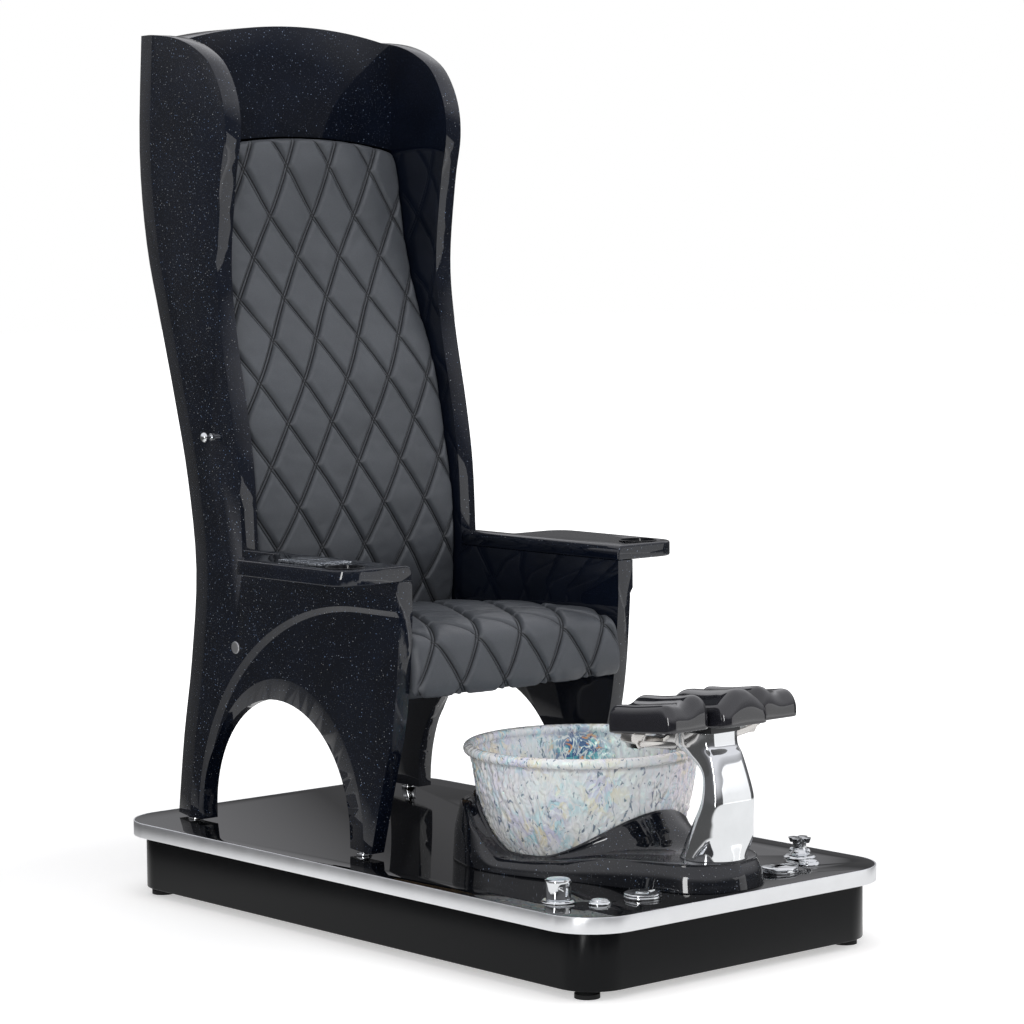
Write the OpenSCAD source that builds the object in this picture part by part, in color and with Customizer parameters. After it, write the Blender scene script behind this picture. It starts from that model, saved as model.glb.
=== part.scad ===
// A pedicure spa chair: a tall throne chair and a glass foot bath on one platform.
// X runs across the chair, Y from its front (negative) to its back, Z up from the floor.
// The sitter's right hand is on the -X side.

/* [Platform] */
// Length of the deck, front to back
deck_l = 1400; // [1360:10:1500]
// Width of the deck
deck_w = 770; // [750:10:860]
// Radius of the deck's corners in plan
deck_corner = 100; // [80:5:120]
// Thickness of the glass top
glass_t = 8; // [6:1:12]
// Thickness of the deck board under the glass
board_t = 21; // [18:1:30]
// Wall of the aluminium edge band
band_t = 3; // [2:0.5:5]
// Height of the plinth skirt
plinth_h = 105; // [95:1:140]
// How far the skirt is set in under the band
plinth_inset = 25; // [18:1:35]
// Wall of the plinth skirt
skirt_t = 6; // [4:1:9]
// Height of the levelling pads under the skirt
foot_h = 16; // [12:1:25]
// Diameter of a levelling pad
foot_d = 45; // [36:1:60]

/* [Chair shell] */
// Height of the side panels above the deck
chair_h = 1546; // [1510:2:1610]
// Clear width between the side panels
seat_w = 514; // [490:2:530]
// Thickness of a side panel
panel_t = 38; // [32:1:44]
// Depth of the stepped field around the leg arch
step_d = 7; // [4:0.5:10]
// Width of the long bevel down the back edge of a panel
bevel_w = 62; // [50:1:75]
// Depth of the long bevel down the back edge of a panel
bevel_d = 18; // [10:1:24]
// Height of the opening between the legs
arch_h = 265; // [240:1:280]
// Half of the opening's width between the legs
arch_half = 222; // [212:1:232]
// Height of the leg glides
glide_h = 8; // [6:1:14]
// How far the arched crest rises above its corners
crest_rise = 32; // [20:1:45]
// Height of the crest's arched face above the back cushion
crest_face = 213; // [180:1:230]
// Thickness of the rear skin and of the crest's walls
skin_t = 7; // [5:1:10]

/* [Arms] */
// Height of the armrest tops above the deck
arm_h = 551; // [535:1:580]
// Thickness of an armrest slab
arm_t = 29; // [26:1:36]
// How far an armrest reaches out past its panel
arm_reach = 125; // [115:1:150]
// Radius of an armrest's outer corners
arm_corner = 45; // [30:1:55]
// Radius of an armrest's inner top edge
arm_round = 15; // [8:1:20]
// Diameter of the cup recess
cup_d = 70; // [60:1:76]
// Depth of the cup recess
cup_depth = 22; // [16:1:23]

/* [Cushions] */
// Height of the seat cushion's crown above the deck
seat_h = 425; // [415:1:440]
// Thickness of the seat cushion
seat_pad_t = 90; // [80:1:95]
// Height of the seat cushion's rolled front
seat_roll_h = 125; // [115:1:130]
// Thickness of the back cushion
back_pad_t = 62; // [50:1:75]
// Width of one quilted diamond
diamond_w = 106; // [90:1:120]
// Height of one quilted diamond
diamond_h = 162; // [140:2:190]
// Depth of the quilting grooves
quilt_d = 9; // [4:1:12]
// Thickness of the plywood boards behind and under the cushions
ply_t = 15; // [12:1:18]

/* [Foot bath] */
// Radius of the glass bowl over its rim
bowl_r = 223.5; // [215:0.5:228]
// Height of the bowl's rim above the deck
bowl_h = 220; // [210:1:226]
// Thickness of the bowl's glass
bowl_t = 8; // [6:0.5:10]
// Radius of the rolled rim's bead
bead_r = 10; // [8:0.5:12]
// Distance of the bowl's middle in front of the deck's middle
bowl_forward = 270; // [260:1:275]
// Diameter of the drain hole in the bowl
drain_d = 46; // [40:1:52]
// Height of the base's nose above the deck
nose_h = 50; // [44:1:60]

/* [Footrest] */
// Height of the pads' front lower edge above the deck
pad_z = 294.5; // [290:0.5:310]
// Depth of a pad, front to back
pad_l = 166; // [140:1:176]
// Width of the centre pad
centre_pad_w = 108; // [90:1:112]
// Width of a side pad
side_pad_w = 100; // [85:1:110]
// Gap between the centre pad and a side pad
pad_gap = 6; // [5:0.5:10]
// Slope of the pads, lower at the back
pad_slope = 5; // [3:0.5:7]
// Diameter of the link pins
pin_d = 5; // [4:0.5:5.5]
// Thickness of a link plate
link_t = 3; // [2:0.5:4]
// Width of the bracket and lug that the links clasp
lug_w = 27; // [20:1:34]

/* [Controls] */
// Diameter of the mixer knob
knob_d = 46; // [38:1:50]
// Height of the mixer knob above the deck
knob_h = 40; // [32:1:50]
// Diameter of the flange under each valve's handle
flange_d = 61; // [54:1:66]
// Diameter of an air button's bezel
bezel_d = 40; // [36:1:46]
// Diameter of the drain dial and of the deck drain
dial_d = 67; // [58:1:76]
// Travel of an air button
button_travel = 4; // [2:0.5:5]
// Lift of the drain stopper
stopper_lift = 10; // [6:1:12]

/* [Hidden] */
$fn = 64;

// Clearances
fit = 0.3;
run = 0.05;
thread_gap = 0.1;

// Levels and planes
deck_z = foot_h + plinth_h + board_t + glass_t;
board_z = -glass_t - board_t;
inner_x = seat_w / 2;
outer_x = inner_x + panel_t;
field_x = outer_x - step_d;
crest_side_h = chair_h - 11;
crest_low_z = crest_side_h - crest_face;

// The back's farthest reach behind the deck's middle, and how it leans back with height.
// Everything above the arms follows it.
back_reach = 724;
back_lean = back_reach - 724;
lean_share = [[arm_h, 0], [676, 0.14], [830, 0.37], [986, 0.64], [1137, 0.89], [1320, 1]];
function leaned(curve) = [for (p = curve) [p[0] + back_lean * lookup(p[1], lean_share), p[1]]];
crest_front_y = 590 + back_lean;
crest_back_y = crest_front_y + 110;

// The foot bath, the footrest and the controls keep their distance from the deck's front edge
front_shift = 700 - deck_l / 2;

// The whole model is moved so that its origin lies under the middle of its outline
origin_y = (back_reach - deck_l / 2) / 2;

// Smooth curve through a list of points, with n steps between each two
function blend(a, b, c, d, t) =
    0.5 * (2 * b + (c - a) * t + (2 * a - 5 * b + 4 * c - d) * t * t
    + (3 * b - a - 3 * c + d) * t * t * t);
function smooth(p, n = 5) = let (last = len(p) - 1) [
    for (i = [0 : last - 1]) for (j = [0 : n - 1])
        blend(p[max(i - 1, 0)], p[i], p[i + 1], p[min(i + 2, last)], j / n),
    p[last]
];
function reversed(p) = [for (i = [len(p) - 1 : -1 : 0]) p[i]];
function arc(cy, cz, a, b, from, to, n) =
    [for (i = [0 : n]) let (w = from + (to - from) * i / n) [cy + a * cos(w), cz + b * sin(w)]];
function ease(t) = let (u = min(max(t, 0), 1)) u * u * (3 - 2 * u);
// Places on a curve of [y, z] points at a given height
function y_at(curve, z) = lookup(z, [for (p = curve) [p[1], p[0]]]);

// Outline of a side panel as [y, z], heights above the deck
leg_front_y = 3;
arm_front_y = -88;
wing_y = 379;
arm_low = arm_h - arm_t;
post_knots = [[leg_front_y, glide_h], [-35, 143], [-62, 235], [-78, 330], [arm_front_y, 450]];
wing_knots = leaned([
    [wing_y, arm_h], [386, arm_h + 137], [405, arm_h + 259], [438, arm_h + 421], [450, arm_h + 550],
    [432, chair_h - 290], [414, chair_h - 200], [422, chair_h - 130], [457, chair_h - 68],
    [508, chair_h - 33], [568, chair_h - 12], [640, chair_h - 2], [700, chair_h]
]);
foot_back_y = 628;
rear_knots = leaned([
    [711, chair_h], [724, chair_h - 226], [705, chair_h - 409], [663, chair_h - 560],
    [618, chair_h - 716], [579, chair_h - 870], [556, chair_h - 1046], [576, 318], [606, 165],
    [foot_back_y, glide_h]
]);
rear_curve = smooth(rear_knots, 4);
panel_outline = concat(smooth(post_knots, 4), [[arm_front_y, arm_low], [wing_y, arm_low]],
    smooth(wing_knots, 5), rear_curve);

// Arch between the legs: its through opening, and the edge of its wide bevel
arch_y = 303;
arch_base = 30;
bevel_edge_y = 269;
bevel_edge_half = arch_half + 22;
bevel_edge_h = arch_h + 45;
bevel_depth = 12;

// Closed solid between rings of [x, y, z] points; each ring turns counterclockwise when it is
// looked at from the end of the row
function ring_faces(rings, n) = concat(
    [[for (j = [0 : n - 1]) j]],
    [for (i = [0 : rings - 2]) for (j = [0 : n - 1]) let (a = i * n + j, b = i * n + (j + 1) % n)
        each [[a, b + n, b], [a, a + n, b + n]]],
    [[for (j = [n - 1 : -1 : 0]) (rings - 1) * n + j]]);
module loft(rings) {
    n = len(rings[0]);
    polyhedron([for (r = rings) for (p = r) p], ring_faces(len(rings), n), convexity = 6);
}

// Extrudes an outline of [y, z] points along X
module along_x(x, t) {
    translate([x, 0, 0]) rotate([90, 0, 90]) linear_extrude(t) children();
}
module mirrored() {
    children();
    mirror([1, 0, 0]) children();
}
module on_deck() {
    translate([0, 0, deck_z]) children();
}
module at_front() {
    translate([0, front_shift, 0]) children();
}
module placed() {
    translate([0, -origin_y, 0]) children();
}
module rounded_plate(l, w, r, h) {
    linear_extrude(h) union() {
        square([w - 2 * r, l], center = true);
        square([w, l - 2 * r], center = true);
        for (sx = [-1, 1], sy = [-1, 1]) translate([sx * (w / 2 - r), sy * (l / 2 - r)]) circle(r);
    }
}
module at_feet() {
    for (sx = [-1, 1], sy = [-1, 1]) translate([sx * foot_x, sy * foot_y, 0]) children();
}

// ---------- Platform ----------
foot_x = deck_w / 2 - plinth_inset - 40;
foot_y = deck_l / 2 - plinth_inset - 50;
stud_d = 12;
frame_w = 40;
frame_t = 3;
frame_h = 50;
frame_top = foot_h + plinth_h;
frame_low = frame_top - frame_h;
stud_top = frame_top - 12;
nut_h = 10;
boss_h = 20;

module levelling_pads() color("#151517") at_feet() difference() {
    union() {
        cylinder(h = foot_h * 0.5, d = foot_d);
        translate([0, 0, foot_h * 0.5]) cylinder(h = foot_h * 0.5, d1 = foot_d * 0.8, d2 = foot_d * 0.5);
    }
    translate([0, 0, foot_h - 8]) cylinder(h = 9, d = stud_d + 2 * thread_gap);
}

module levelling_studs() color("#b8bcc0") at_feet() {
    translate([0, 0, foot_h - 8]) cylinder(h = stud_top - foot_h + 8, d = stud_d);
    translate([0, 0, frame_low - nut_h]) cylinder(h = nut_h, d = 21, $fn = 6);
}

// Downward channels: two long rails, and cross members between them
long_rail_x = foot_x;
cross_ys = [-foot_y, front_shift - bowl_forward + 70, 200, foot_y];
module channel(l) {
    difference() {
        translate([-frame_w / 2, -l / 2, frame_low]) cube([frame_w, l, frame_h]);
        translate([-frame_w / 2 + frame_t, -l / 2 - 1, frame_low - 1])
            cube([frame_w - 2 * frame_t, l + 2, frame_h - frame_t + 1]);
    }
}
module plinth_frame() color("#3a3d42") difference() {
    union() {
        for (s = [-1, 1]) translate([s * long_rail_x, 0, 0]) channel(2 * foot_y + frame_w - 16);
        for (y = cross_ys) translate([0, y, 0]) rotate([0, 0, 90])
            channel(2 * long_rail_x - frame_w + 2 * frame_t);
        at_feet() translate([-frame_w / 2 + 1, -15, frame_low]) cube([frame_w - 2, 30, boss_h]);
    }
    at_feet() translate([0, 0, frame_low - 1])
        cylinder(h = stud_top - frame_low + 2, d = stud_d + 2 * thread_gap);
    // Cut-outs that let the valves, switches and drains hang through the frame
    translate([0, 0, frame_low - 1]) at_front()
        services(frame_h + 2, [44, 36, 36, 46], column_stud_d + 1);
}

module plinth_skirt() color("#0d0e11") translate([0, 0, foot_h]) difference() {
    rounded_plate(deck_l - 2 * plinth_inset, deck_w - 2 * plinth_inset, deck_corner - plinth_inset,
        plinth_h);
    translate([0, 0, -1]) rounded_plate(deck_l - 2 * (plinth_inset + skirt_t),
        deck_w - 2 * (plinth_inset + skirt_t), deck_corner - plinth_inset - skirt_t, plinth_h + 2);
}

// Round holes where the valves, switches, drain dial and deck drain pass, and the column's studs
module services(h, sizes, stud_hole) {
    for (s = [-1, 1]) {
        translate([s * valve_x, valve_y, 0]) cylinder(h = h, d = sizes[0]);
        translate([s * button_x, button_y, 0]) cylinder(h = h, d = sizes[1]);
        translate([s * column_stud_x, column_stud_y, 0]) cylinder(h = h, d = stud_hole);
    }
    translate([-dial_x, dial_y, 0]) cylinder(h = h, d = sizes[2]);
    translate([dial_x, dial_y, 0]) cylinder(h = h, d = sizes[3]);
}
module deck_holes() at_front() {
    services(glass_t + board_t + 2, [valve_d + 1, switch_d + 1, spindle_d + 2, drain_neck_d + 1],
        column_stud_d + 1);
    translate([0, -bowl_forward, 0]) cylinder(h = glass_t + board_t + 2, d = tail_d + 8);
}
module deck_board() color("#6b5236") on_deck() difference() {
    translate([0, 0, board_z]) rounded_plate(deck_l - 2 * band_t, deck_w - 2 * band_t,
        deck_corner - band_t, board_t);
    translate([0, 0, board_z - 1]) deck_holes();
}
module deck_glass() color("#101317") on_deck() difference() {
    translate([0, 0, -glass_t]) rounded_plate(deck_l - 2 * band_t, deck_w - 2 * band_t,
        deck_corner - band_t, glass_t);
    translate([0, 0, board_z - 1]) deck_holes();
}
module edge_band() color("#d5d9dc") on_deck() translate([0, 0, board_z]) difference() {
    rounded_plate(deck_l, deck_w, deck_corner, -board_z);
    translate([0, 0, -1]) rounded_plate(deck_l - 2 * band_t, deck_w - 2 * band_t,
        deck_corner - band_t, -board_z + 2);
}

// ---------- Chair shell ----------
gelcoat = "#141a26";
bolt_y = 406;
bolt_z = seat_h - 66;
bolt_d = 8;
bolt_hole_d = bolt_d + 0.4;
cap_d = 24;
cap_sink = 8;
hook_y = 473;
hook_z = 764;
hook_screw_d = 5;

// Half oval on straight legs that run down past the leg ends
function arch(y, half, h, n) = concat(arc(y, arch_base, half, h - arch_base, 0, 180, n),
    [[y - half, -1], [y + half, -1]]);
// Thin slices whose hull is the wide bevel round the leg arch
module arch_bevel() {
    hull() {
        along_x(-field_x - 0.5, 0.5) polygon(arch(bevel_edge_y, bevel_edge_half, bevel_edge_h, 28));
        along_x(-field_x + bevel_depth, 0.5) polygon(arch(arch_y, arch_half, arch_h, 28));
    }
}
// The stepped field, bounded by a quarter oval with a narrow chamfer
field_corner = [30, 0];
field_half = 506;
field_h = arm_h - 83;
function field_edge(inset) = concat(
    arc(field_corner[0], field_corner[1], field_half - 1.4 * inset, field_h - inset, 0, 90, 30),
    [[arm_front_y - 60, field_h - inset], [arm_front_y - 60, -20], [field_half, -20]]);
module stepped_field() {
    hull() {
        along_x(-outer_x - 0.5, 0.5) polygon(field_edge(0));
        along_x(-field_x - 0.5, 0.5) polygon(field_edge(11));
    }
}
// Wedge that planes the long bevel down the back edge
module back_bevel() {
    edge = concat([rear_curve[0] + [0, 6]], rear_curve, [rear_curve[len(rear_curve) - 1] - [0, 6]]);
    loft([for (p = edge) [
        [-outer_x - 1, p[0] + 2, p[1]],
        [-outer_x + bevel_d * (1 + 2 / bevel_w), p[0] + 2, p[1]],
        [-outer_x - 1, p[0] - bevel_w * (1 + 1 / bevel_d), p[1]]
    ]]);
}
module side_panel(hook_hole) color(gelcoat) on_deck() difference() {
    along_x(-outer_x, panel_t) polygon(panel_outline);
    along_x(-outer_x - 1, panel_t + 2) polygon(arch(arch_y, arch_half, arch_h, 40));
    arch_bevel();
    stepped_field();
    back_bevel();
    translate([-outer_x - 1, bolt_y, bolt_z]) rotate([0, 90, 0]) {
        cylinder(h = cap_sink + 1, d = cap_d);
        cylinder(h = panel_t + 2, d = bolt_hole_d);
    }
    if (hook_hole) translate([-outer_x - 1, hook_y, hook_z]) rotate([0, 90, 0])
        cylinder(h = 21, d = hook_screw_d);
}
module right_side_panel() side_panel(true);
module left_side_panel() mirror([1, 0, 0]) side_panel(false);

rear_leg_y = (arch_y + arch_half + foot_back_y) / 2;
front_leg_y = (arch_y - arch_half + leg_front_y) / 2;
module leg_glides() color("#c9ccd0") on_deck() mirrored()
    for (y = [front_leg_y, rear_leg_y]) translate([-(inner_x + field_x) / 2, y, 0]) {
        cylinder(h = glide_h, d = 20);
        cylinder(h = 4.5, d = 30);
    }

// The crest is a box under a round arch, open at the bottom; a second arch clears the back cushion
cushion_rise = 26;
crest_r = (pow(inner_x, 2) + pow(crest_rise, 2)) / (2 * crest_rise);
cushion_arch_r = (pow(inner_x, 2) + pow(cushion_rise, 2)) / (2 * cushion_rise);
module arch_solid(inset) {
    intersection() {
        translate([-inner_x + inset, crest_front_y + inset, crest_low_z - 30])
            cube([seat_w - 2 * inset, crest_back_y - crest_front_y - 2 * inset, crest_face + 90]);
        translate([0, 0, crest_side_h + crest_rise - crest_r]) rotate([-90, 0, 0])
            cylinder(h = 2000, r = crest_r - inset, $fn = 180);
    }
}
module crest_shell() color(gelcoat) on_deck() difference() {
    arch_solid(0);
    arch_solid(skin_t);
    translate([-inner_x, crest_front_y, crest_low_z - 31]) cube([seat_w, 200, 31]);
    intersection() {
        translate([-inner_x - 1, crest_front_y - 1, crest_low_z - 31]) cube([seat_w + 2, 60, 80]);
        translate([0, 0, crest_low_z + cushion_rise - cushion_arch_r]) rotate([-90, 0, 0])
            cylinder(h = 2000, r = cushion_arch_r, $fn = 180);
    }
}

skin_inset = 18;
skin_low = 300;
module rear_skin() color(gelcoat) on_deck() along_x(-inner_x, seat_w) {
    zs = [for (i = [0 : 30]) skin_low + (crest_low_z - fit - skin_low) * i / 30];
    polygon(concat([for (z = zs) [y_at(rear_curve, z) - skin_inset, z]],
        reversed([for (z = zs) [y_at(rear_curve, z) - skin_inset - skin_t, z]])));
}

// ---------- Seat and back ----------
rail_h = 40;
rail_top = bolt_z + rail_h / 2;
rail_front_y = bolt_y - 13;
seat_back_y = 385;
seat_low = seat_h - seat_pad_t;
seat_board_y = -62;
seat_roll_low = seat_h - seat_roll_h;
cleat_w = 20;
cleat_h = 22;
cleat_top = seat_low - fit - ply_t;
front_rail_y = 40;
back_low = rail_top + fit;
// Line of the back cushion's face where it meets the side panels
face_knots = leaned([
    [400, back_low], [393, 500], [396, 624], [421, 762], [449, 889], [501, 1016], [538, 1139],
    [558, crest_low_z - 60], [575, crest_low_z]
]);
face_curve = smooth(face_knots, 4);

module back_board() color("#8c6a42") on_deck() along_x(-inner_x, seat_w) {
    front = [for (s = back_stations) [s[4] + fit, s[5]]];
    polygon(concat(front, reversed([for (p = front) p + [ply_t, 0]])));
}
module seat_board() color("#8c6a42") on_deck() translate([-inner_x, seat_board_y, cleat_top])
    cube([seat_w, seat_back_y - seat_board_y, ply_t]);
module seat_cleats() color("#8c6a42") on_deck() mirrored()
    translate([-inner_x, seat_board_y + 20, cleat_top - cleat_h])
        cube([cleat_w, seat_back_y - seat_board_y - 20, cleat_h]);
module cross_rails() color("#8c6a42") on_deck() difference() {
    union() {
        translate([-inner_x, rail_front_y, bolt_z - rail_h / 2]) cube([seat_w, rail_h, rail_h]);
        translate([-inner_x + cleat_w, front_rail_y, cleat_top - cleat_h])
            cube([seat_w - 2 * cleat_w, rail_h, cleat_h]);
    }
    mirrored() translate([-inner_x - 1, bolt_y, bolt_z]) rotate([0, 90, 0])
        cylinder(h = bolt_grip + 3, d = bolt_hole_d);
}
bolt_grip = 58;
bolt_head_h = 4;
bolt_head_d = 14;
module rail_bolts() color("#b8bcc0") on_deck() mirrored()
    translate([-outer_x + cap_sink - bolt_head_h, bolt_y, bolt_z]) rotate([0, 90, 0]) {
        cylinder(h = bolt_head_h, d = bolt_head_d);
        cylinder(h = bolt_head_h + panel_t - cap_sink + bolt_grip, d = bolt_d);
    }
cap_proud = 1.5;
module bolt_caps() color("#9aa0a4") on_deck() mirrored()
    translate([-outer_x - cap_proud, bolt_y, bolt_z]) rotate([0, 90, 0]) difference() {
        cylinder(h = cap_sink + cap_proud, d = cap_d - 2 * thread_gap);
        translate([0, 0, cap_sink + cap_proud - bolt_head_h - fit])
            cylinder(h = bolt_head_h + 1, d = bolt_head_d + 1);
    }

// Mushroom hook on a stand-off, screwed into the right panel
module bag_hook() color("#c9ccd0") on_deck() translate([-outer_x, hook_y, hook_z]) rotate([0, -90, 0]) {
    translate([0, 0, -18]) cylinder(h = 18, d = hook_screw_d - 2 * thread_gap);
    cylinder(h = 3, d = 14);
    cylinder(h = 20, d = 8);
    translate([0, 0, 19]) rotate_extrude() intersection() {
        translate([0, -4.5]) circle(r = 10.5);
        translate([0, -2]) square([11, 9]);
    }
}

// ---------- Quilted cushions ----------
// The face of a cushion is a grid: columns across the chair, rows along a path of [y, z] points.
// It puffs out between grooves that follow two families of slanted lines.
cell_w = diamond_w / 4;
cell_h = diamond_h / 4;
edge_w = 8;
edge_drop = 12;
cushion_half = inner_x - fit;
side_cells = floor((cushion_half - 1.2 * edge_w) / cell_w);
columns = concat([-cushion_half, -cushion_half + edge_w],
    [for (i = [-side_cells : side_cells]) i * cell_w], [cushion_half - edge_w, cushion_half]);
last_column = len(columns) - 1;
function groove_up(i, j) = (i - j + 400) % 4 == 0;
function groove_down(i, j) = (i + j + 400) % 4 == 0;
function puff(i, j) = j == undef ? -0.3 * quilt_d
    : groove_up(i, j) || groove_down(i, j) ? -quilt_d
    : (i + j + 400) % 2 == 0 ? 0 : -0.25 * quilt_d;
function normal_at(path, k) = let (
        t = path[min(k + 1, len(path) - 1)] - path[max(k - 1, 0)], s = norm([t[0], t[1]]))
    [-t[1] / s, t[0] / s];
// Stations are [face y, face z, quilting row or undef, crown, back y, back z, rise at mid width]
module cushion(stations) {
    n = last_column + 1;
    m = len(stations);
    half = cushion_half;
    face = [for (k = [0 : m - 1]) let (s = stations[k], out = normal_at(stations, k))
        for (c = [0 : n - 1]) let (
            x = columns[c],
            end = k == 0 || k == m - 1,
            side = c == 0 || c == n - 1,
            bulge = s[3] * (1 - pow(abs(x) / half, 4)),
            d = end ? 0 : side ? -edge_drop : (c == 1 || c == n - 2) ? -3
                : bulge + puff(c - 2 - side_cells, s[2]),
            lift = s[6] * (1 - pow(x / half, 2)))
        [x, s[0] + out[0] * d, s[1] + out[1] * d + lift]];
    back = [for (s = stations) for (x = [-half, half]) [x, s[4], s[5]]];
    b0 = n * m;
    faces = concat(
        [for (k = [0 : m - 2]) for (c = [0 : n - 2]) let (a = k * n + c, b = a + n)
            each groove_up(c - 2 - side_cells, stations[k][2] == undef ? stations[k + 1][2] == undef ? 0
                : stations[k + 1][2] - 1 : stations[k][2])
                ? [[a, b + 1, a + 1], [a, b, b + 1]] : [[a, b, a + 1], [a + 1, b, b + 1]]],
        [for (k = [0 : m - 2]) let (a = k * n, b = b0 + 2 * k) each [[b, b + 2, a + n], [b, a + n, a]]],
        [for (k = [0 : m - 2]) let (a = k * n + n - 1, b = b0 + 2 * k + 1)
            each [[a, a + n, b + 2], [a, b + 2, b]]],
        [for (k = [0 : m - 2]) let (b = b0 + 2 * k) each [[b + 1, b + 3, b + 2], [b + 1, b + 2, b]]],
        [for (c = [0 : n - 2]) [c, c + 1, b0]], [[n - 1, b0 + 1, b0]],
        [for (c = [0 : n - 2]) [(m - 1) * n + c + 1, (m - 1) * n + c, b0 + 2 * m - 2]],
        [[m * n - 1, b0 + 2 * m - 2, b0 + 2 * m - 1]]);
    polyhedron(concat(face, back), faces, convexity = 10);
}

// Back cushion: the quilting is counted from one of its rows of crossings
back_row_z = 786;
back_rows = [for (j = [-12 : 16]) if (back_row_z + j * cell_h > back_low + 20
    && back_row_z + j * cell_h < crest_low_z - 4) j];
function back_station(z, row, crown) = let (y = y_at(face_curve, z))
    [y, z, row, crown, y + back_pad_t, z, 0];
back_foot_y = y_at(face_curve, back_low) + 16;
back_top_y = y_at(face_curve, crest_low_z);
back_stations = concat(
    [[back_foot_y, back_low, undef, 0, back_foot_y - 16 + back_pad_t, back_low, 0]],
    [back_station(back_low + 10, undef, 0)],
    [for (j = back_rows) let (z = back_row_z + j * cell_h)
        back_station(z, j, 14 * ease((z - 400) / 120))],
    [[back_top_y - 1, crest_low_z - 9, undef, 6, back_top_y - 1 + back_pad_t, crest_low_z - 9,
        cushion_rise]],
    [[back_top_y + edge_drop, crest_low_z - 2 * fit, undef, 0, back_top_y + back_pad_t,
        crest_low_z - 2 * fit, cushion_rise]]);
module back_cushion() color("#3b3d41") on_deck() cushion(back_stations);

// Seat cushion: its path climbs the rolled front and runs back over the top
front_stations = [
    [-82, seat_roll_low, undef, 0, seat_board_y - fit, seat_roll_low, 0],
    [-95, seat_roll_low + 7, undef, 0, seat_board_y - fit, seat_roll_low + 4, 0],
    [-103, seat_roll_low + 27, 2, 2, seat_board_y - fit, seat_roll_low + 9, 0],
    [-100, seat_h - 57, 3, 4, seat_board_y - fit, seat_low - 12, 0],
    [-86, seat_h - 20, 4, 5, seat_board_y - fit, seat_low, 0],
    [-50, seat_h - 5, 5, 5, -50, seat_low, 0]
];
top_start = -50 + cell_h;
seat_rows = [for (j = [0 : 14]) if (top_start + j * cell_h < seat_back_y - 14) j];
module seat_cushion() color("#3b3d41") on_deck() cushion(concat(front_stations,
    [for (j = seat_rows) let (
            y = top_start + j * cell_h, z = seat_h - 18 * pow(max(y - 100, 0) / 290, 1.5))
        [y, z, j + 6, 5, y, seat_low, 0]],
    [[seat_back_y - 2, seat_h - 17, undef, 2, seat_back_y - 1, seat_low, 0]],
    [[seat_back_y + 8, seat_h - 27, undef, 0, seat_back_y, seat_low, 0]]));

// ---------- Arms ----------
arm_x = outer_x + arm_reach;
arm_back_y = 260;
cup_x = arm_x - 55;
cup_y = -28;
key_x = arm_x - 70;
key_y = 80;
key_plate_w = 75;
key_plate_l = 125;
key_border = 6;
key_plate_t = 3;
key_rim_t = 4.5;
key_sink = 12;
key_w = 27;
key_l = 50;
key_gap = 4;
key_proud = 5.5;
key_travel = 1.5;
key_play = 0.1;

module arm_plan() {
    translate([-outer_x, arm_front_y]) square([panel_t, wing_y - arm_front_y]);
    translate([-arm_x + arm_corner, arm_front_y])
        square([arm_x - arm_corner - inner_x, arm_back_y - arm_front_y]);
    translate([-arm_x, arm_front_y + arm_corner])
        square([arm_corner, arm_back_y - arm_front_y - 2 * arm_corner]);
    for (y = [arm_front_y + arm_corner, arm_back_y - arm_corner])
        translate([-arm_x + arm_corner, y]) circle(arm_corner);
}
module arm_section() {
    translate([-arm_x, 0]) square([arm_x - inner_x - arm_round, arm_t]);
    translate([-arm_x, 0]) square([arm_x - inner_x, arm_t - arm_round]);
    translate([-inner_x - arm_round, arm_t - arm_round]) circle(arm_round);
}
module arm_slab() difference() {
    intersection() {
        translate([0, 0, arm_low]) linear_extrude(arm_t) arm_plan();
        translate([0, wing_y + 1, arm_low]) rotate([90, 0, 0])
            linear_extrude(wing_y - arm_front_y + 2) arm_section();
    }
    translate([-cup_x, cup_y, arm_h - cup_depth]) cylinder(h = cup_depth + 1, d = cup_d);
}
module right_armrest() color(gelcoat) on_deck() difference() {
    arm_slab();
    translate([-key_x, key_y, arm_h - key_sink + 1])
        cube([key_plate_w - 9, key_plate_l - 9, 2 * key_sink], center = true);
}
module left_armrest() color(gelcoat) on_deck() mirror([1, 0, 0]) arm_slab();

liner_t = 1.5;
module cup_liners() color("#c9ccd0") on_deck() mirrored()
    translate([-cup_x, cup_y, arm_h - cup_depth]) difference() {
        union() {
            cylinder(h = cup_depth, d = cup_d - 2 * thread_gap);
            translate([0, 0, cup_depth]) cylinder(h = liner_t, d = cup_d + 5);
        }
        translate([0, 0, liner_t]) cylinder(h = cup_depth + 1, d = cup_d - 2 * thread_gap - 2 * liner_t);
    }

// Keypad: a housing let into the right armrest, with four keys that sink into it
module key_block(i, w, l, low, h) {
    sx = i % 2 == 0 ? -1 : 1;
    sy = i < 2 ? -1 : 1;
    translate([-key_x + sx * (key_w + key_gap) / 2, key_y + sy * (key_l + key_gap) / 2, arm_h + low + h / 2])
        cube([w, l, h], center = true);
}
key_floor = -key_sink / 2;
module keypad_housing() color("#5c6066") on_deck() difference() {
    union() {
        translate([-key_x, key_y, arm_h + key_plate_t / 2])
            cube([key_plate_w, key_plate_l, key_plate_t], center = true);
        translate([-key_x, key_y, arm_h + key_rim_t / 2]) difference() {
            cube([key_plate_w, key_plate_l, key_rim_t], center = true);
            cube([key_plate_w - key_border, key_plate_l - key_border, key_rim_t + 1], center = true);
        }
        translate([-key_x, key_y, arm_h - key_sink / 2 + 1])
            cube([key_plate_w - 10, key_plate_l - 10, key_sink], center = true);
    }
    for (i = [0 : 3]) key_block(i, key_w + 2 * key_play, key_l + 2 * key_play, key_floor, 20);
}
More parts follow.
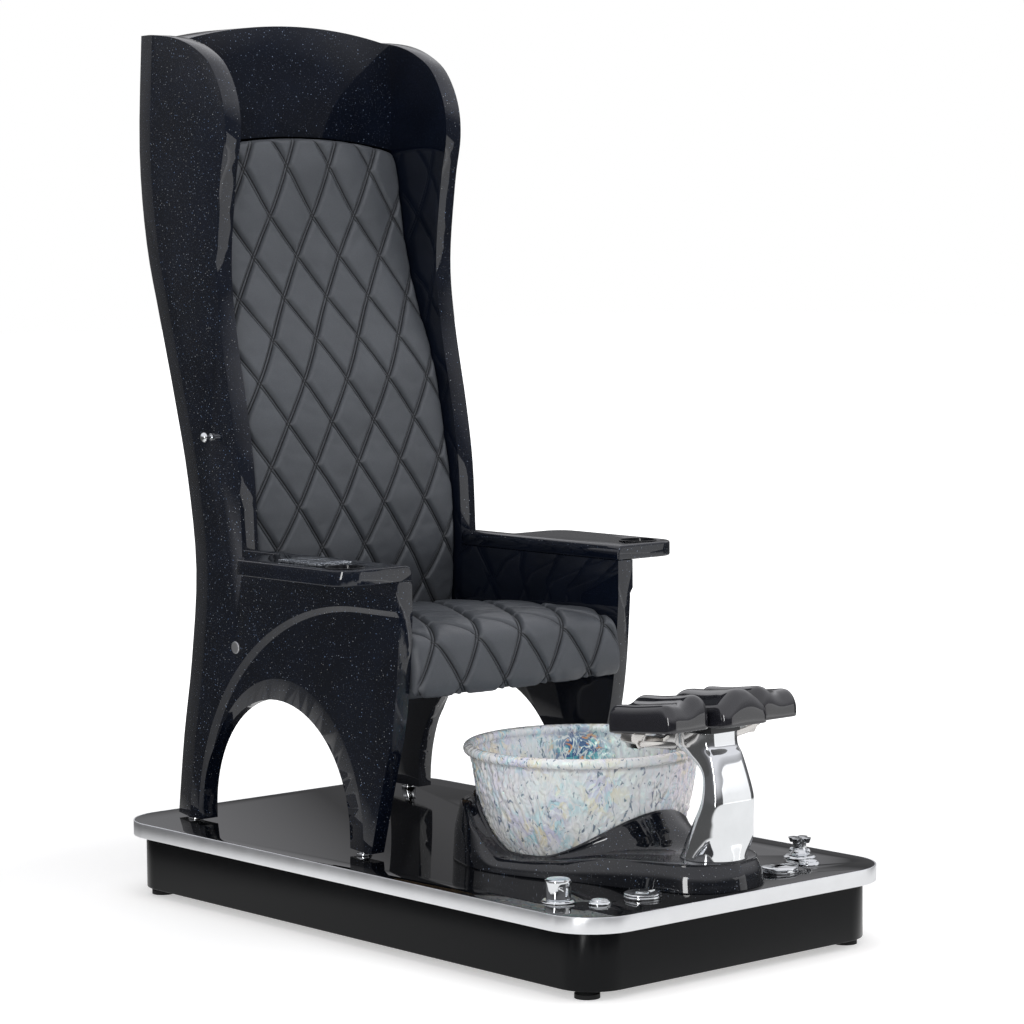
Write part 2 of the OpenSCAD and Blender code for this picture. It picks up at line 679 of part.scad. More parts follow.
module key(i) color("#c9ccd0") on_deck()
    key_block(i, key_w, key_l, key_floor + key_travel + fit, key_proud - key_floor - key_travel - fit);
module key_1() key(0);
module key_2() key(1);
module key_3() key(2);
module key_4() key(3);

// ---------- Foot bath ----------
drain_neck_r = drain_d / 2 - 0.5;
tail_d = 52;
bowl_low = 12;
seat_ring_out = 112;
bowl_knots = [
    [118, bowl_low], [150, 22], [170, 44], [186, 80], [198, 129], [206, 174], [210, 192]
];
// Bowl radii scale with the rim, bowl heights with the rim's height
bowl_rim_r = bowl_r - bead_r;
bowl_profile = smooth([for (p = bowl_knots)
    [p[0] * bowl_rim_r / 213.5, bowl_low + (p[1] - bowl_low) * (bowl_h - bowl_low) / 208]], 3);
function bowl_r_at(z) = y_at(bowl_profile, z);
module at_bowl() {
    on_deck() at_front() translate([0, -bowl_forward, 0]) children();
}
module glass_bowl() color("#a9c4d2", 0.35) at_bowl() rotate_extrude() {
    inside = [for (p = bowl_profile) [p[0] - bowl_t, max(p[1], bowl_low + bowl_t)]];
    difference() {
        polygon(concat([[0, bowl_low]], bowl_profile, [[bowl_rim_r, bowl_h - bead_r]],
            [[bowl_rim_r - bowl_t, bowl_h - bead_r]], reversed(inside), [[0, bowl_low + bowl_t]]));
        translate([0, bowl_low - 1]) square([drain_d / 2, bowl_t + 2]);
    }
    translate([bowl_rim_r, bowl_h - bead_r]) circle(bead_r);
}
module bowl_seat() color("#1b1c1f") at_bowl() difference() {
    cylinder(h = bowl_low, r = seat_ring_out);
    translate([0, 0, -1]) cylinder(h = bowl_low + 2, r = seat_ring_out - 38);
}

// Base moulding: a shell that is open below, swept round the bowl's axis.
// w is the bearing round the axis, 0 at the front of the platform.
base_outline = [
    [0, -687], [60, -672], [98, -632], [125, -565], [150, -480], [172, -400], [200, -310],
    [213, -235], [196, -150], [144, -68], [0, -22]
];
base_polar = [for (p = smooth(base_outline, 5)) let (d = p[1] + bowl_forward)
    [atan2(p[0], -d), norm([p[0], d])]];
base_t = 6;
lip_gap = 1.5;
function foot_r(w) = lookup(abs(w), base_polar);
function lip_z(w) = abs(w) < 75 ? 32 + 84 * (1 + cos(abs(w) * 2.4)) / 2 : 32 + 96 * ease((abs(w) - 98) / 32);
function lip_r(w) = bowl_r_at(lip_z(w)) + lip_gap;
function shoulder_z(w) = lookup(abs(w), [[0, nose_h], [22, nose_h], [35, 45], [53, 34], [79, 25], [98, 25],
    [115, 66], [130, 108], [180, 112]]);
function shoulder_in(w) = lookup(abs(w), [[0, 24], [22, 26], [35, 28], [53, 26], [79, 16], [98, 18],
    [121, 12], [145, 20], [180, 30]]);
function base_section(w) = let (
        a = foot_r(w), b = a - shoulder_in(w), l = lip_r(w), zl = lip_z(w), zs = shoulder_z(w),
        f = l + (b - l) * lookup(abs(w), [[0, 0.4], [30, 0.5], [70, 0.6], [180, 0.6]]))
    [
        [a, 0], [a - 0.25 * shoulder_in(w), 0.55 * zs], [b + 0.3 * (a - b), 0.9 * zs], [b, zs],
        [f, zs + 0.05 * (zl - zs)], [l + 0.45 * (f - l), zs + 0.55 * (zl - zs)],
        [l + min(8, 0.3 * (b - l)), zl - 3], [l + 3, zl], [l, zl - 2.5], [l, 0], [l + base_t, 0],
        [l + base_t, zs - 2 * base_t], [l + max(base_t + 1, 0.5 * (b - l)), zs - 1.5 * base_t],
        [max(b - 1, l + base_t + 2), zs - 1.2 * base_t], [max(a - 1.4 * base_t, l + base_t + 3), 0]
    ];
base_steps = 72;
module base_moulding() {
    sections = [for (i = [0 : base_steps - 1]) base_section(i * 360 / base_steps - 180)];
    n = len(sections[0]);
    points = [for (i = [0 : base_steps - 1]) let (w = i * 360 / base_steps - 180)
        for (p = sections[i]) [p[0] * sin(w), -p[0] * cos(w), p[1]]];
    polyhedron(points, [for (i = [0 : base_steps - 1]) for (j = [0 : n - 1]) let (
            i2 = (i + 1) % base_steps, j2 = (j + 1) % n)
        each [[i * n + j, i2 * n + j2, i2 * n + j], [i * n + j, i * n + j2, i2 * n + j2]]], convexity = 8);
}
module basin_base() color("#10131b") at_bowl() difference() {
    union() {
        base_moulding();
        // Bosses that take the column's studs down to the deck
        for (s = [-1, 1]) translate([s * column_stud_x, column_stud_y + bowl_forward, 0])
            cylinder(h = nose_h - 2, d = column_stud_d + 14);
    }
    for (s = [-1, 1]) translate([s * column_stud_x, column_stud_y + bowl_forward, -1])
        cylinder(h = nose_h + 20, d = column_stud_d + 1);
    translate([0, column_y0 + bowl_forward, nose_h]) cylinder(h = 40, r = 66);
}

// Drain: flange in the bowl, tailpiece clamped from below, and a stopper on a guided stem
flange_top = bowl_low + bowl_t + 3;
stem_d = 8;
neck_low = -20;
module drain_flange() color("#c9ccd0") at_bowl() difference() {
    union() {
        translate([0, 0, bowl_low + bowl_t]) cylinder(h = 3, d = drain_d + 24);
        translate([0, 0, neck_low]) cylinder(h = flange_top - neck_low - 1, r = drain_neck_r);
    }
    difference() {
        translate([0, 0, neck_low - 1]) cylinder(h = 60, r = drain_neck_r - 4);
        translate([0, 0, -4]) union() {
            cylinder(h = 10, d = stem_d + 6);
            for (w = [0, 90]) rotate([0, 0, w]) translate([-drain_neck_r, -1.5, 0])
                cube([2 * drain_neck_r, 3, 10]);
        }
    }
    translate([0, 0, -5]) cylinder(h = 12, d = stem_d + 2 * run);
}
module drain_tailpiece() color("#b8bcc0") at_bowl() difference() {
    union() {
        translate([0, 0, 2]) cylinder(h = bowl_low - 2, d = tail_d + 12);
        translate([0, 0, board_z - 45]) cylinder(h = bowl_low - board_z + 45, d = tail_d);
    }
    translate([0, 0, neck_low - fit]) cylinder(h = 60, r = drain_neck_r + thread_gap);
    translate([0, 0, board_z - 46]) cylinder(h = 90, r = drain_neck_r - 4.5);
}
module drain_stopper() color("#c9ccd0") at_bowl() translate([0, 0, flange_top]) {
    rotate_extrude() polygon([[0, 0], [27, 0], [29, 1.5], [28.5, 3.5], [20, 5.5], [8, 6.5], [0, 6.5]]);
    translate([0, 0, -flange_top - 16]) cylinder(h = flange_top + 17, d = stem_d);
}

// ---------- Footrest ----------
column_stud_d = 10;
column_stud_x = 28;
column_stud_y = -622;
column_y0 = -609;
column_top = pad_z - 18.5;
// Sections of the column: height, middle in y, half width, half depth
column_knots = [
    [nose_h, column_y0, 60, 60], [85, -618, 57, 48], [120, -629, 54, 38], [160, -640, 50, 30],
    [206, -633, 44, 26], [235, -604, 43, 46], [252, -583, 43, 57], [column_top, -578, 44, 60]
];
stud_bite = 28;
module column() color("#c9ccd0") on_deck() at_front() difference() {
    loft([for (s = smooth(column_knots, 3)) [for (i = [0 : 47]) let (w = i * 7.5)
        [s[2] * sign(cos(w)) * pow(abs(cos(w)), 0.85),
            s[1] + s[3] * sign(sin(w)) * pow(abs(sin(w)), 0.85), s[0]]]]);
    for (s = [-1, 1]) translate([s * column_stud_x, column_stud_y, nose_h - 1])
        cylinder(h = stud_bite + 1, d = column_stud_d + 2 * thread_gap);
}
module column_studs() color("#b8bcc0") on_deck() at_front() for (s = [-1, 1])
    translate([s * column_stud_x, column_stud_y, board_z - frame_t - 14]) {
        cylinder(h = nose_h + stud_bite - 1 - board_z + frame_t + 14, d = column_stud_d);
        translate([0, 0, 4]) cylinder(h = 10, d = 17, $fn = 6);
    }

pad_front_y = -697;
function pad_under(y) = pad_z - (y - pad_front_y) * tan(pad_slope);
lug_y = -555;
front_link_y = lug_y - lug_w / 2 - fit - link_t;
rear_link_y = lug_y + lug_w / 2 + fit;
cross_bar_t = 5;
head_front_y = -640;
head_back_y = -545;
module footrest_head() color("#17191d") on_deck() at_front() difference() {
    along_x(-36, 72) polygon([[head_front_y, column_top], [head_back_y, column_top],
        [head_back_y, pad_under(head_back_y) - run], [head_front_y, pad_under(head_front_y) - run]]);
    translate([-41, lug_y - lug_w / 2 - fit, column_top - 1]) cube([82, 60, cross_bar_t + 1 + fit]);
}

// Pivots of the side pads as [distance from the middle, height]
fixed_in = [60, 251];
fixed_out = [76, 261];
moving_in = [137, 262];
moving_out = [153, 272];
link_half = 5.5;
pin_sink = 13;
module pin_at(p, y, dir, l, d) {
    translate([p[0], y, p[1]]) rotate([-90 * dir, 0, 0]) cylinder(h = l, d = d);
}
module bored_lug(inner, outer) {
    difference() {
        children();
        pin_at(inner, lug_y - lug_w / 2 - 1, 1, pin_sink + 1, pin_d + 2 * run);
        pin_at(outer, lug_y + lug_w / 2 + 1, -1, pin_sink + 1, pin_d + 2 * run);
    }
}
module pivot_brackets() color("#9aa0a4") on_deck() at_front() {
    translate([-50, lug_y - lug_w / 2, column_top]) cube([100, lug_w, cross_bar_t]);
    mirrored() bored_lug(fixed_in, fixed_out)
        translate([0, lug_y + lug_w / 2, 0]) rotate([90, 0, 0]) linear_extrude(lug_w) polygon([
            [45, column_top + cross_bar_t], [50, column_top + cross_bar_t], [53, 271], [72, 271], [84, 266],
            [84, 255], [66, 243], [52, 243], [45, 248]
        ]);
}
module link(a, b, front) {
    y = front ? front_link_y : rear_link_y;
    dir = front ? 1 : -1;
    w = atan2(b[1] - a[1], b[0] - a[0]);
    translate([a[0], y + link_t, a[1]]) rotate([90, -w, 0]) linear_extrude(link_t) {
        circle(link_half);
        translate([norm(b - a), 0]) circle(link_half);
        translate([0, -link_half]) square([norm(b - a), 2 * link_half]);
    }
    root = front ? y + 1 : y + link_t - 1;
    pin_at(a, root, dir, pin_sink + link_t - 2, pin_d);
    pin_at(b, root, dir, pin_sink + link_t - 2, front ? pin_d : pin_d - 0.5);
}
module front_link() color("#c9ccd0") on_deck() at_front() link(fixed_in, moving_in, true);
module rear_link() color("#c9ccd0") on_deck() at_front() link(fixed_out, moving_out, false);
module left_front_link() front_link();
module left_rear_link() rear_link();
module right_front_link() mirror([1, 0, 0]) front_link();
module right_rear_link() mirror([1, 0, 0]) rear_link();

// Bracket screwed under a side pad: a sloping plate with a bored lug
bracket_t = 3;
module pad_bracket() color("#9aa0a4") on_deck() at_front() bored_lug(moving_in, moving_out) {
    along_x(114, 40) polygon([for (q = [[-598, 0], [-518, 0], [-518, -bracket_t], [-598, -bracket_t]])
        [q[0], pad_under(q[0]) + q[1]]]);
    intersection() {
        translate([0, lug_y + lug_w / 2, 0]) rotate([90, 0, 0]) linear_extrude(lug_w)
            polygon([[124, 292], [158, 292], [160, 276], [160, 268], [150, 263], [144, 254], [130, 254],
                [126, 262]]);
        along_x(100, 80) polygon([[-600, 200], [-500, 200], [-500, pad_under(-500) - 1],
            [-600, pad_under(-600) - 1]]);
    }
}
module left_pad_bracket() pad_bracket();
module right_pad_bracket() mirror([1, 0, 0]) pad_bracket();

// Footrest pads: rounded plan, sloping underside, contoured top that rolls off at every edge
function pad_outline(cx, cy, hx, hy, r) = [for (q = [[1, -1, -90], [1, 1, 0], [-1, 1, 90], [-1, -1, 180]])
    for (i = [0 : 6]) let (w = q[2] + i * 15)
        [cx + q[0] * (hx - r) + r * cos(w), cy + q[1] * (hy - r) + r * sin(w)]];
// scale of each ring about the pad's middle, and share of the local thickness it reaches
pad_rings = [[0.95, 0], [1, 0.14], [1, 0.5], [0.985, 0.72], [0.94, 0.9], [0.86, 0.98], [0.7, 1], [0.45, 1],
    [0.2, 1]];
module pad_solid(cx, cy, hx, hy, heights) {
    outline = pad_outline(cx, cy, hx, hy, 16);
    loft([for (r = pad_rings) [for (p = outline) let (
            x = cx + (p[0] - cx) * r[0], y = cy + (p[1] - cy) * r[0],
            front = lookup((y - cy + hy) / (2 * hy), [[0, 0.58], [0.1, 0.86], [0.25, 1], [0.7, 1], [1, 0.92]]))
        [x, y, pad_under(y) + lookup(abs(x), heights) * front * r[1]]]]);
}
module centre_pad() color("#0d0e11") on_deck() at_front()
    pad_solid(0, pad_front_y + pad_l / 2, centre_pad_w / 2, pad_l / 2, [[0, 64], [18, 60], [36, 48], [54, 38]]);
side_pad_x = centre_pad_w / 2 + pad_gap + side_pad_w / 2;
side_pad_back = 30;
module side_pad() color("#0d0e11") on_deck() at_front()
    pad_solid(side_pad_x, pad_front_y + side_pad_back + pad_l / 2, side_pad_w / 2, pad_l / 2,
        [[60, 50], [82, 60], [112, 47], [140, 50], [160, 42]]);
module left_pad() side_pad();
module right_pad() mirror([1, 0, 0]) side_pad();

// ---------- Controls ----------
valve_x = 300;
valve_y = -530;
valve_d = 30;
valve_stem_d = 12;
valve_flange_t = 4;
button_x = 260;
button_y = -593;
switch_d = 24;
dial_x = 170;
dial_y = -605;
spindle_d = 10;
drain_neck_d = 38;
nut_gap = 1;
under_deck = 46;

module at_both(x, y) {
    on_deck() at_front() for (s = [-1, 1]) translate([s * x, y, 0]) children();
}
module valve_flanges() color("#c9ccd0") at_both(valve_x, valve_y) difference() {
    rotate_extrude() polygon([[0, 0], [flange_d / 2, 0], [flange_d / 2, 1.5], [flange_d / 2 - 4, valve_flange_t],
        [0, valve_flange_t]]);
    translate([0, 0, -1]) cylinder(h = valve_flange_t + 2, d = valve_stem_d + 1);
}
module valve_bodies() color("#b8bcc0") at_both(valve_x, valve_y) {
    translate([0, 0, board_z - under_deck]) cylinder(h = under_deck - board_z, d = valve_d);
    translate([0, 0, board_z - 9]) cylinder(h = 9, d = 38, $fn = 6);
    cylinder(h = 24, d = valve_stem_d);
}
handle_low = valve_flange_t + fit;
module stem_bore() {
    translate([0, 0, handle_low - 1]) cylinder(h = 26 - handle_low, d = valve_stem_d + 2 * run);
}
module mixer_knob() color("#c9ccd0") on_deck() at_front() translate([-valve_x, valve_y, 0]) difference() {
    union() {
        rotate_extrude() polygon([[0, handle_low], [knob_d / 2 - 2, handle_low], [knob_d / 2 - 1, handle_low + 1.5],
            [knob_d / 2 - 0.5, handle_low + 20], [knob_d / 2, knob_h - 6], [knob_d / 2, knob_h - 2],
            [knob_d / 2 - 3, knob_h], [knob_d / 2 - 7, knob_h - 1.5], [0, knob_h - 1.5]]);
        // Round marker screw that shows how far the knob is turned
        translate([0, 0, knob_h * 0.58]) rotate([0, 90, -120]) cylinder(h = knob_d / 2 + 1, d = 10);
    }
    stem_bore();
}
module cross_handle() color("#c9ccd0") on_deck() at_front() translate([valve_x, valve_y, 0]) difference() {
    union() {
        rotate_extrude() polygon([[0, handle_low], [17, handle_low], [18, handle_low + 4], [14, handle_low + 8],
            [12, handle_low + 14], [13, handle_low + 22], [15, handle_low + 30], [0, handle_low + 32]]);
        for (w = [0 : 90 : 270]) rotate([0, 0, w + 20]) {
            translate([16, 0, handle_low + 7]) sphere(r = 5.5);
            translate([13, 0, handle_low + 23]) cylinder(h = 9, r1 = 6, r2 = 9.5);
        }
    }
    stem_bore();
}
button_d = bezel_d - 10;
button_low = button_travel + 0.5;
module button_bezels() color("#c9ccd0") at_both(button_x, button_y) difference() {
    rotate_extrude() polygon([[0, 0], [bezel_d / 2, 0], [bezel_d / 2, 1.5], [bezel_d / 2 - 2, 4.5], [bezel_d / 2 - 4, 5.5],
        [0, 5.5]]);
    translate([0, 0, -1]) cylinder(h = 12, d = button_d + 2 * run);
}
module air_switches() color("#2a2c30") at_both(button_x, button_y) difference() {
    union() {
        translate([0, 0, board_z - under_deck]) cylinder(h = under_deck - board_z, d = switch_d);
        translate([0, 0, board_z - 8]) cylinder(h = 8, d = 32, $fn = 6);
    }
    translate([0, 0, -24]) cylinder(h = 30, d = stem_d + 2 * run);
}
module air_button(s) color("#c9ccd0") on_deck() at_front() translate([s * button_x, button_y, 0]) {
    translate([0, 0, button_low - 20]) cylinder(h = 21, d = stem_d);
    rotate_extrude() polygon(concat([[0, button_low], [button_d / 2, button_low], [button_d / 2, button_low + 2]],
        [for (i = [1 : 8]) [button_d / 2 * cos(i * 90 / 8), button_low + 2 + 3.5 * sin(i * 90 / 8)]]));
}
module right_air_button() air_button(-1);
module left_air_button() air_button(1);

dial_base_t = 5;
dial_top = 9;
module dial_base() color("#c9ccd0") on_deck() at_front() translate([-dial_x, dial_y, 0]) difference() {
    rotate_extrude() polygon([[0, 0], [dial_d / 2, 0], [dial_d / 2, 3.5], [dial_d / 2 - 1.5, dial_base_t],
        [0, dial_base_t]]);
    translate([0, 0, -1]) cylinder(h = dial_base_t + 2, d = spindle_d + 2 * run);
}
module drain_dial() color("#c9ccd0") on_deck() at_front() translate([-dial_x, dial_y, 0]) {
    rotate_extrude() polygon([[0, dial_base_t + fit], [dial_d / 2 - 2, dial_base_t + fit], [dial_d / 2 - 0.5, 6],
        [dial_d / 2 - 0.5, 7.8], [dial_d / 2 - 2.5, dial_top], [14, dial_top], [12, dial_top + 0.8],
        [11, dial_top + 1.8], [9, dial_top + 2.2], [0, dial_top + 2.2]]);
    translate([8, -1.5, dial_top - 1]) cube([dial_d / 2 - 13, 3, 2.4]);
    translate([0, 0, board_z - 12]) cylinder(h = dial_base_t - board_z + 14, d = spindle_d);
}
cover_low = 6;
module deck_drain() color("#c9ccd0") on_deck() at_front() translate([dial_x, dial_y, 0]) difference() {
    union() {
        cylinder(h = cover_low - 3, d = dial_d);
        cylinder(h = cover_low, d = dial_d - 8);
        translate([0, 0, board_z - under_deck]) cylinder(h = under_deck - board_z, d = drain_neck_d);
    }
    translate([0, 0, board_z - under_deck - 1]) cylinder(h = 100, d = drain_neck_d - 6);
    for (w = [0 : 60 : 300]) rotate([0, 0, w]) translate([dial_d / 2 - 6, -6, 2]) cube([12, 12, 12]);
}
module drain_cover() color("#c9ccd0") on_deck() at_front() translate([dial_x, dial_y, cover_low]) difference() {
    rotate_extrude() polygon([[0, 0], [dial_d / 2 - 1, 0], [dial_d / 2, 1.5], [dial_d / 2 - 1, 4], [dial_d / 2 - 4, 5],
        [0, 5]]);
    for (s = [-1, 1], i = [-2 : 2]) translate([s * 14 + i * 3.6 - 1, -7, -1]) cube([2, 14, 7]);
}

placed() levelling_pads();
placed() levelling_studs();
placed() plinth_frame();
placed() plinth_skirt();
placed() deck_board();
placed() deck_glass();
placed() edge_band();
placed() right_side_panel();
placed() left_side_panel();
placed() leg_glides();
placed() crest_shell();
placed() rear_skin();
placed() back_board();
placed() back_cushion();
placed() seat_board();
placed() seat_cleats();
placed() cross_rails();
placed() seat_cushion();
placed() right_armrest();
placed() left_armrest();
placed() cup_liners();
placed() keypad_housing();
placed() key_1();
placed() key_2();
placed() key_3();
placed() key_4();
placed() rail_bolts();
placed() bolt_caps();
placed() bag_hook();
placed() basin_base();
placed() bowl_seat();
placed() glass_bowl();
placed() drain_flange();
placed() drain_tailpiece();
placed() drain_stopper();
placed() column();
placed() column_studs();
placed() footrest_head();
placed() centre_pad();
placed() pivot_brackets();
placed() right_front_link();
placed() right_rear_link();
placed() right_pad_bracket();
placed() right_pad();
placed() left_front_link();
placed() left_rear_link();
placed() left_pad_bracket();
placed() left_pad();
placed() valve_flanges();
placed() valve_bodies();
placed() mixer_knob();
placed() cross_handle();
placed() button_bezels();
placed() air_switches();
placed() right_air_button();
placed() left_air_button();
placed() dial_base();
placed() drain_dial();
placed() deck_drain();
placed() drain_cover();
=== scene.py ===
# %% [markdown]
# # Dressing a pedicure spa chair
# The chair, its platform and its foot bath were measured and built as exact solids first.
# This lesson loads those solids as a fixed frame and gives each one the surface that it has on
# the real chair: flaked gelcoat, quilted leather, chrome, black glass and a rippled glass bowl.

# %% Load the measured solids
import math
import bpy
import bmesh
import numpy as np
from mathutils import Matrix, Vector


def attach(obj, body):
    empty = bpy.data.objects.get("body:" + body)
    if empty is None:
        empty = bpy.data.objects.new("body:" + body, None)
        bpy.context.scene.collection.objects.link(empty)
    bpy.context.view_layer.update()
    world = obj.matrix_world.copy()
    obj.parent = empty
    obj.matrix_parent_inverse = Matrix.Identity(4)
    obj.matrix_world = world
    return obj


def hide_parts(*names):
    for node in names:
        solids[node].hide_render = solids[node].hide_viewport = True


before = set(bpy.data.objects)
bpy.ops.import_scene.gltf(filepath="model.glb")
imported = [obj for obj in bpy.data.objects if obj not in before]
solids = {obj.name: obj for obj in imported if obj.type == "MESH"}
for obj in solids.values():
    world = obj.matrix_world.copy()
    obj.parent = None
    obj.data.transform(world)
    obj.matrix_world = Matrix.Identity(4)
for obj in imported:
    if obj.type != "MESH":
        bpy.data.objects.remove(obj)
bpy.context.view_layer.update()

# %% [markdown]
# ## One place for sizes
# The makers' drawing counts millimetres from the middle of the deck's top face. Blender counts
# metres from the floor. One function turns the first into the second, so that every number
# below can be read off the drawing.

# %% From drawing millimetres to metres in the scene
DECK_LEFT, DECK_BACK, DECK_UP = 0.0, -12.0, 150.0

def metres(points):
    """Adds the deck's place to points in millimetres and divides by a thousand."""
    return (np.asarray(points, float) + (DECK_LEFT, DECK_BACK, DECK_UP)) / 1000.0

def smooth_curve(points, steps):
    """Curve through all points. Between b and c, with neighbours a and d, it is half of
    2b + (c-a)t + (2a-5b+4c-d)t^2 + (3b-a-3c+d)t^3, for t from 0 to 1."""
    p = np.asarray(points, float)
    p = np.vstack([p[:1], p, p[-1:]])
    t = np.linspace(0, 1, steps, endpoint=False)[:, None]
    parts = [0.5 * (2 * b + (c - a) * t + (2 * a - 5 * b + 4 * c - d) * t ** 2
                    + (3 * b - a - 3 * c + d) * t ** 3)
             for a, b, c, d in zip(p[:-3], p[1:-2], p[2:-1], p[3:])]
    return np.vstack(parts + [p[-1:]])

def ease(t):
    """Rises from 0 to 1 as t does, with no slope at either end: t^2 (3 - 2t)."""
    t = np.clip(t, 0, 1)
    return t * t * (3 - 2 * t)

def evened(curve, step):
    """The same curve with its points one step apart, measured along it."""
    curve = np.asarray(curve, float)
    along = np.concatenate([[0], np.cumsum(np.linalg.norm(np.diff(curve, axis=0), axis=1))])
    wanted = np.linspace(0, along[-1], max(2, int(round(along[-1] / step)) + 1))
    return np.column_stack([np.interp(wanted, along, curve[:, k]) for k in range(curve.shape[1])])

# %% Put points and faces into a mesh
def shown(name, data):
    """An object for a mesh, a lamp or a camera, put into the scene."""
    made = bpy.data.objects.new(name, data)
    bpy.context.scene.collection.objects.link(made)
    return made

def grid_quads(rows, columns, closed=False):
    """Four corners for each cell of a grid of points; a closed grid joins its last column to
    its first."""
    r = np.arange(rows - 1)[:, None] * columns
    c = np.arange(columns if closed else columns - 1)[None, :]
    right = (c + 1) % columns
    return np.stack([r + c, r + right, r + columns + right, r + columns + c], -1).reshape(-1, 4)

def cleaned(name, mesh, edit):
    """Merges doubled points, makes one more edit, shades the faces smoothly and shows the mesh."""
    bm = bmesh.new()
    bm.from_mesh(mesh)
    bmesh.ops.remove_doubles(bm, verts=bm.verts, dist=1e-6)
    edit(bm)
    bm.to_mesh(mesh)
    bm.free()
    mesh.polygons.foreach_set("use_smooth", np.ones(len(mesh.polygons), bool))
    return shown(name, mesh)

def facing_out(bm):
    """Turns all faces over if the volume under them comes out negative."""
    if bm.calc_volume(signed=True) < 0:
        bmesh.ops.reverse_faces(bm, faces=bm.faces)

def piece(name, points, quads, others=(), marks=None):
    """Makes an object from points in millimetres, faces of four corners and any others. Marks
    are three numbers kept at each point for the finish to read."""
    points = metres(points)
    corners = np.concatenate([np.ravel(quads)] + [np.asarray(f) for f in others])
    sizes = np.array([4] * len(quads) + [len(f) for f in others])
    starts = np.concatenate([[0], np.cumsum(sizes)[:-1]])
    mesh = bpy.data.meshes.new(name)
    mesh.vertices.add(len(points))
    mesh.vertices.foreach_set("co", points.ravel())
    mesh.loops.add(len(corners))
    mesh.loops.foreach_set("vertex_index", corners.astype(np.int32))
    mesh.polygons.add(len(sizes))
    mesh.polygons.foreach_set("loop_start", starts.astype(np.int32))
    mesh.update(calc_edges=True)
    if marks is not None:
        kept_marks = mesh.attributes.new("marks", "FLOAT_VECTOR", "POINT")
        kept_marks.data.foreach_set("vector", np.ravel(marks))
    return cleaned(name, mesh, facing_out)

# %% Read a mesh, and give a piece its finish and body
def points_of(mesh):
    """The mesh's points as rows of x, y and z in metres."""
    found = np.empty(len(mesh.vertices) * 3)
    mesh.vertices.foreach_get("co", found)
    return found.reshape(-1, 3)

def coated(made, finish):
    """Gives a piece one finish in place of those that it had."""
    made.data.materials.clear()
    made.data.materials.append(finish)

def dressed(made, finish, body, slot, *stands_for):
    """Gives a piece its finish and its body, and hides the solids that it stands for. The slot is
    not used.
    """
    coated(made, finish)
    if stands_for:
        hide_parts(*stands_for)
    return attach(made, body)

# %% [markdown]
# ## Rounded edges on the stiff parts
# No real moulding or plate has a knife edge: the mould or the polisher leaves a small round, and
# that round is what catches a thin bright line of light. A solid from the frame is copied, its
# loose triangles are merged into clean faces, and a Bevel modifier rounds every corner that is
# sharper than a set angle. The angle has to lie above the small turns between the facets of a
# curve and below the flattest real corner.

# %% Copy a solid and ease its edges
def flat_merged(bm):
    """Merges triangles that lie in one plane, to within 0.6 degrees."""
    bmesh.ops.dissolve_limit(bm, angle_limit=math.radians(0.6), verts=bm.verts, edges=bm.edges,
                             delimit={"NORMAL"})

def eased(node, width, finish, slot, body="chair", angle=28):
    """Copy of a solid with its edges rounded to a width in millimetres."""
    made = cleaned(node + "_eased", solids[node].data.copy(), flat_merged)
    bevel = made.modifiers.new("Rounded edges", "BEVEL")
    bevel.width = width / 1000
    bevel.segments = 3
    bevel.limit_method = "ANGLE"
    bevel.angle_limit = math.radians(angle)
    bevel.harden_normals = True
    bevel.miter_outer = "MITER_ARC"
    return dressed(made, finish, body, slot, node)

# %% [markdown]
# ## Finishes
# Each finish is a small network of nodes. Object coordinates tie the pattern to the piece, and
# numbers that are the same all over are set on the shader itself.

# %% Make a material and add its nodes
def new_finish(name, **values):
    """A material with its shader's plain values set; returns the material, its tree and shader."""
    finish = bpy.data.materials.new(name)
    finish.use_nodes = True
    tree = finish.node_tree
    shader = tree.nodes["Principled BSDF"]
    for key, value in values.items():
        shader.inputs[key.replace("_", " ")].default_value = value
    return finish, tree, shader

def node(tree, kind, inputs=None, **settings):
    """Adds a node, sets its settings, and links or sets its inputs by name or number."""
    made = tree.nodes.new("ShaderNode" + kind)
    for key, value in settings.items():
        setattr(made, key, value)
    for key, value in (inputs or {}).items():
        socket = made.inputs[key]
        if isinstance(value, bpy.types.NodeSocket):
            tree.links.new(value, socket)
        else:
            socket.default_value = value
    return made

# %% Patterns on a piece
def place(tree, scale=(1, 1, 1)):
    """The piece's own coordinates in metres, stretched by a scale."""
    where = node(tree, "TexCoord").outputs["Object"]
    return node(tree, "Mapping", {"Vector": where, "Scale": scale}).outputs["Vector"]

def noise(tree, size, detail=3.0, scale=(1, 1, 1), roughness=0.5, distortion=0.0):
    """Cloudy pattern whose blobs are about size millimetres across."""
    return node(tree, "TexNoise", {"Vector": place(tree, scale), "Scale": 1000 / size,
                                   "Detail": detail, "Roughness": roughness,
                                   "Distortion": distortion}).outputs["Fac"]

def cells_of(tree, size, feature="F1"):
    """Pattern of cells about size millimetres across."""
    return node(tree, "TexVoronoi", {"Vector": place(tree), "Scale": 1000 / size,
                                     "Randomness": 1.0}, feature=feature)

def mapped(tree, value, low, high, to_low, to_high):
    """Straight-line change of a value from one range to another, held at the ends."""
    return node(tree, "MapRange", {"Value": value, "From Min": low, "From Max": high,
                                   "To Min": to_low, "To Max": to_high}).outputs["Result"]

# %% Mixes, sums and links
def mixed(tree, factor, a, b, blend="MIX"):
    """Mix of two colours."""
    mix = tree.nodes.new("ShaderNodeMix")
    mix.data_type = "RGBA"
    mix.blend_type = blend
    for socket, value in ((mix.inputs[0], factor), (mix.inputs[6], a), (mix.inputs[7], b)):
        if isinstance(value, bpy.types.NodeSocket):
            tree.links.new(value, socket)
        else:
            socket.default_value = value
    return mix.outputs[2]

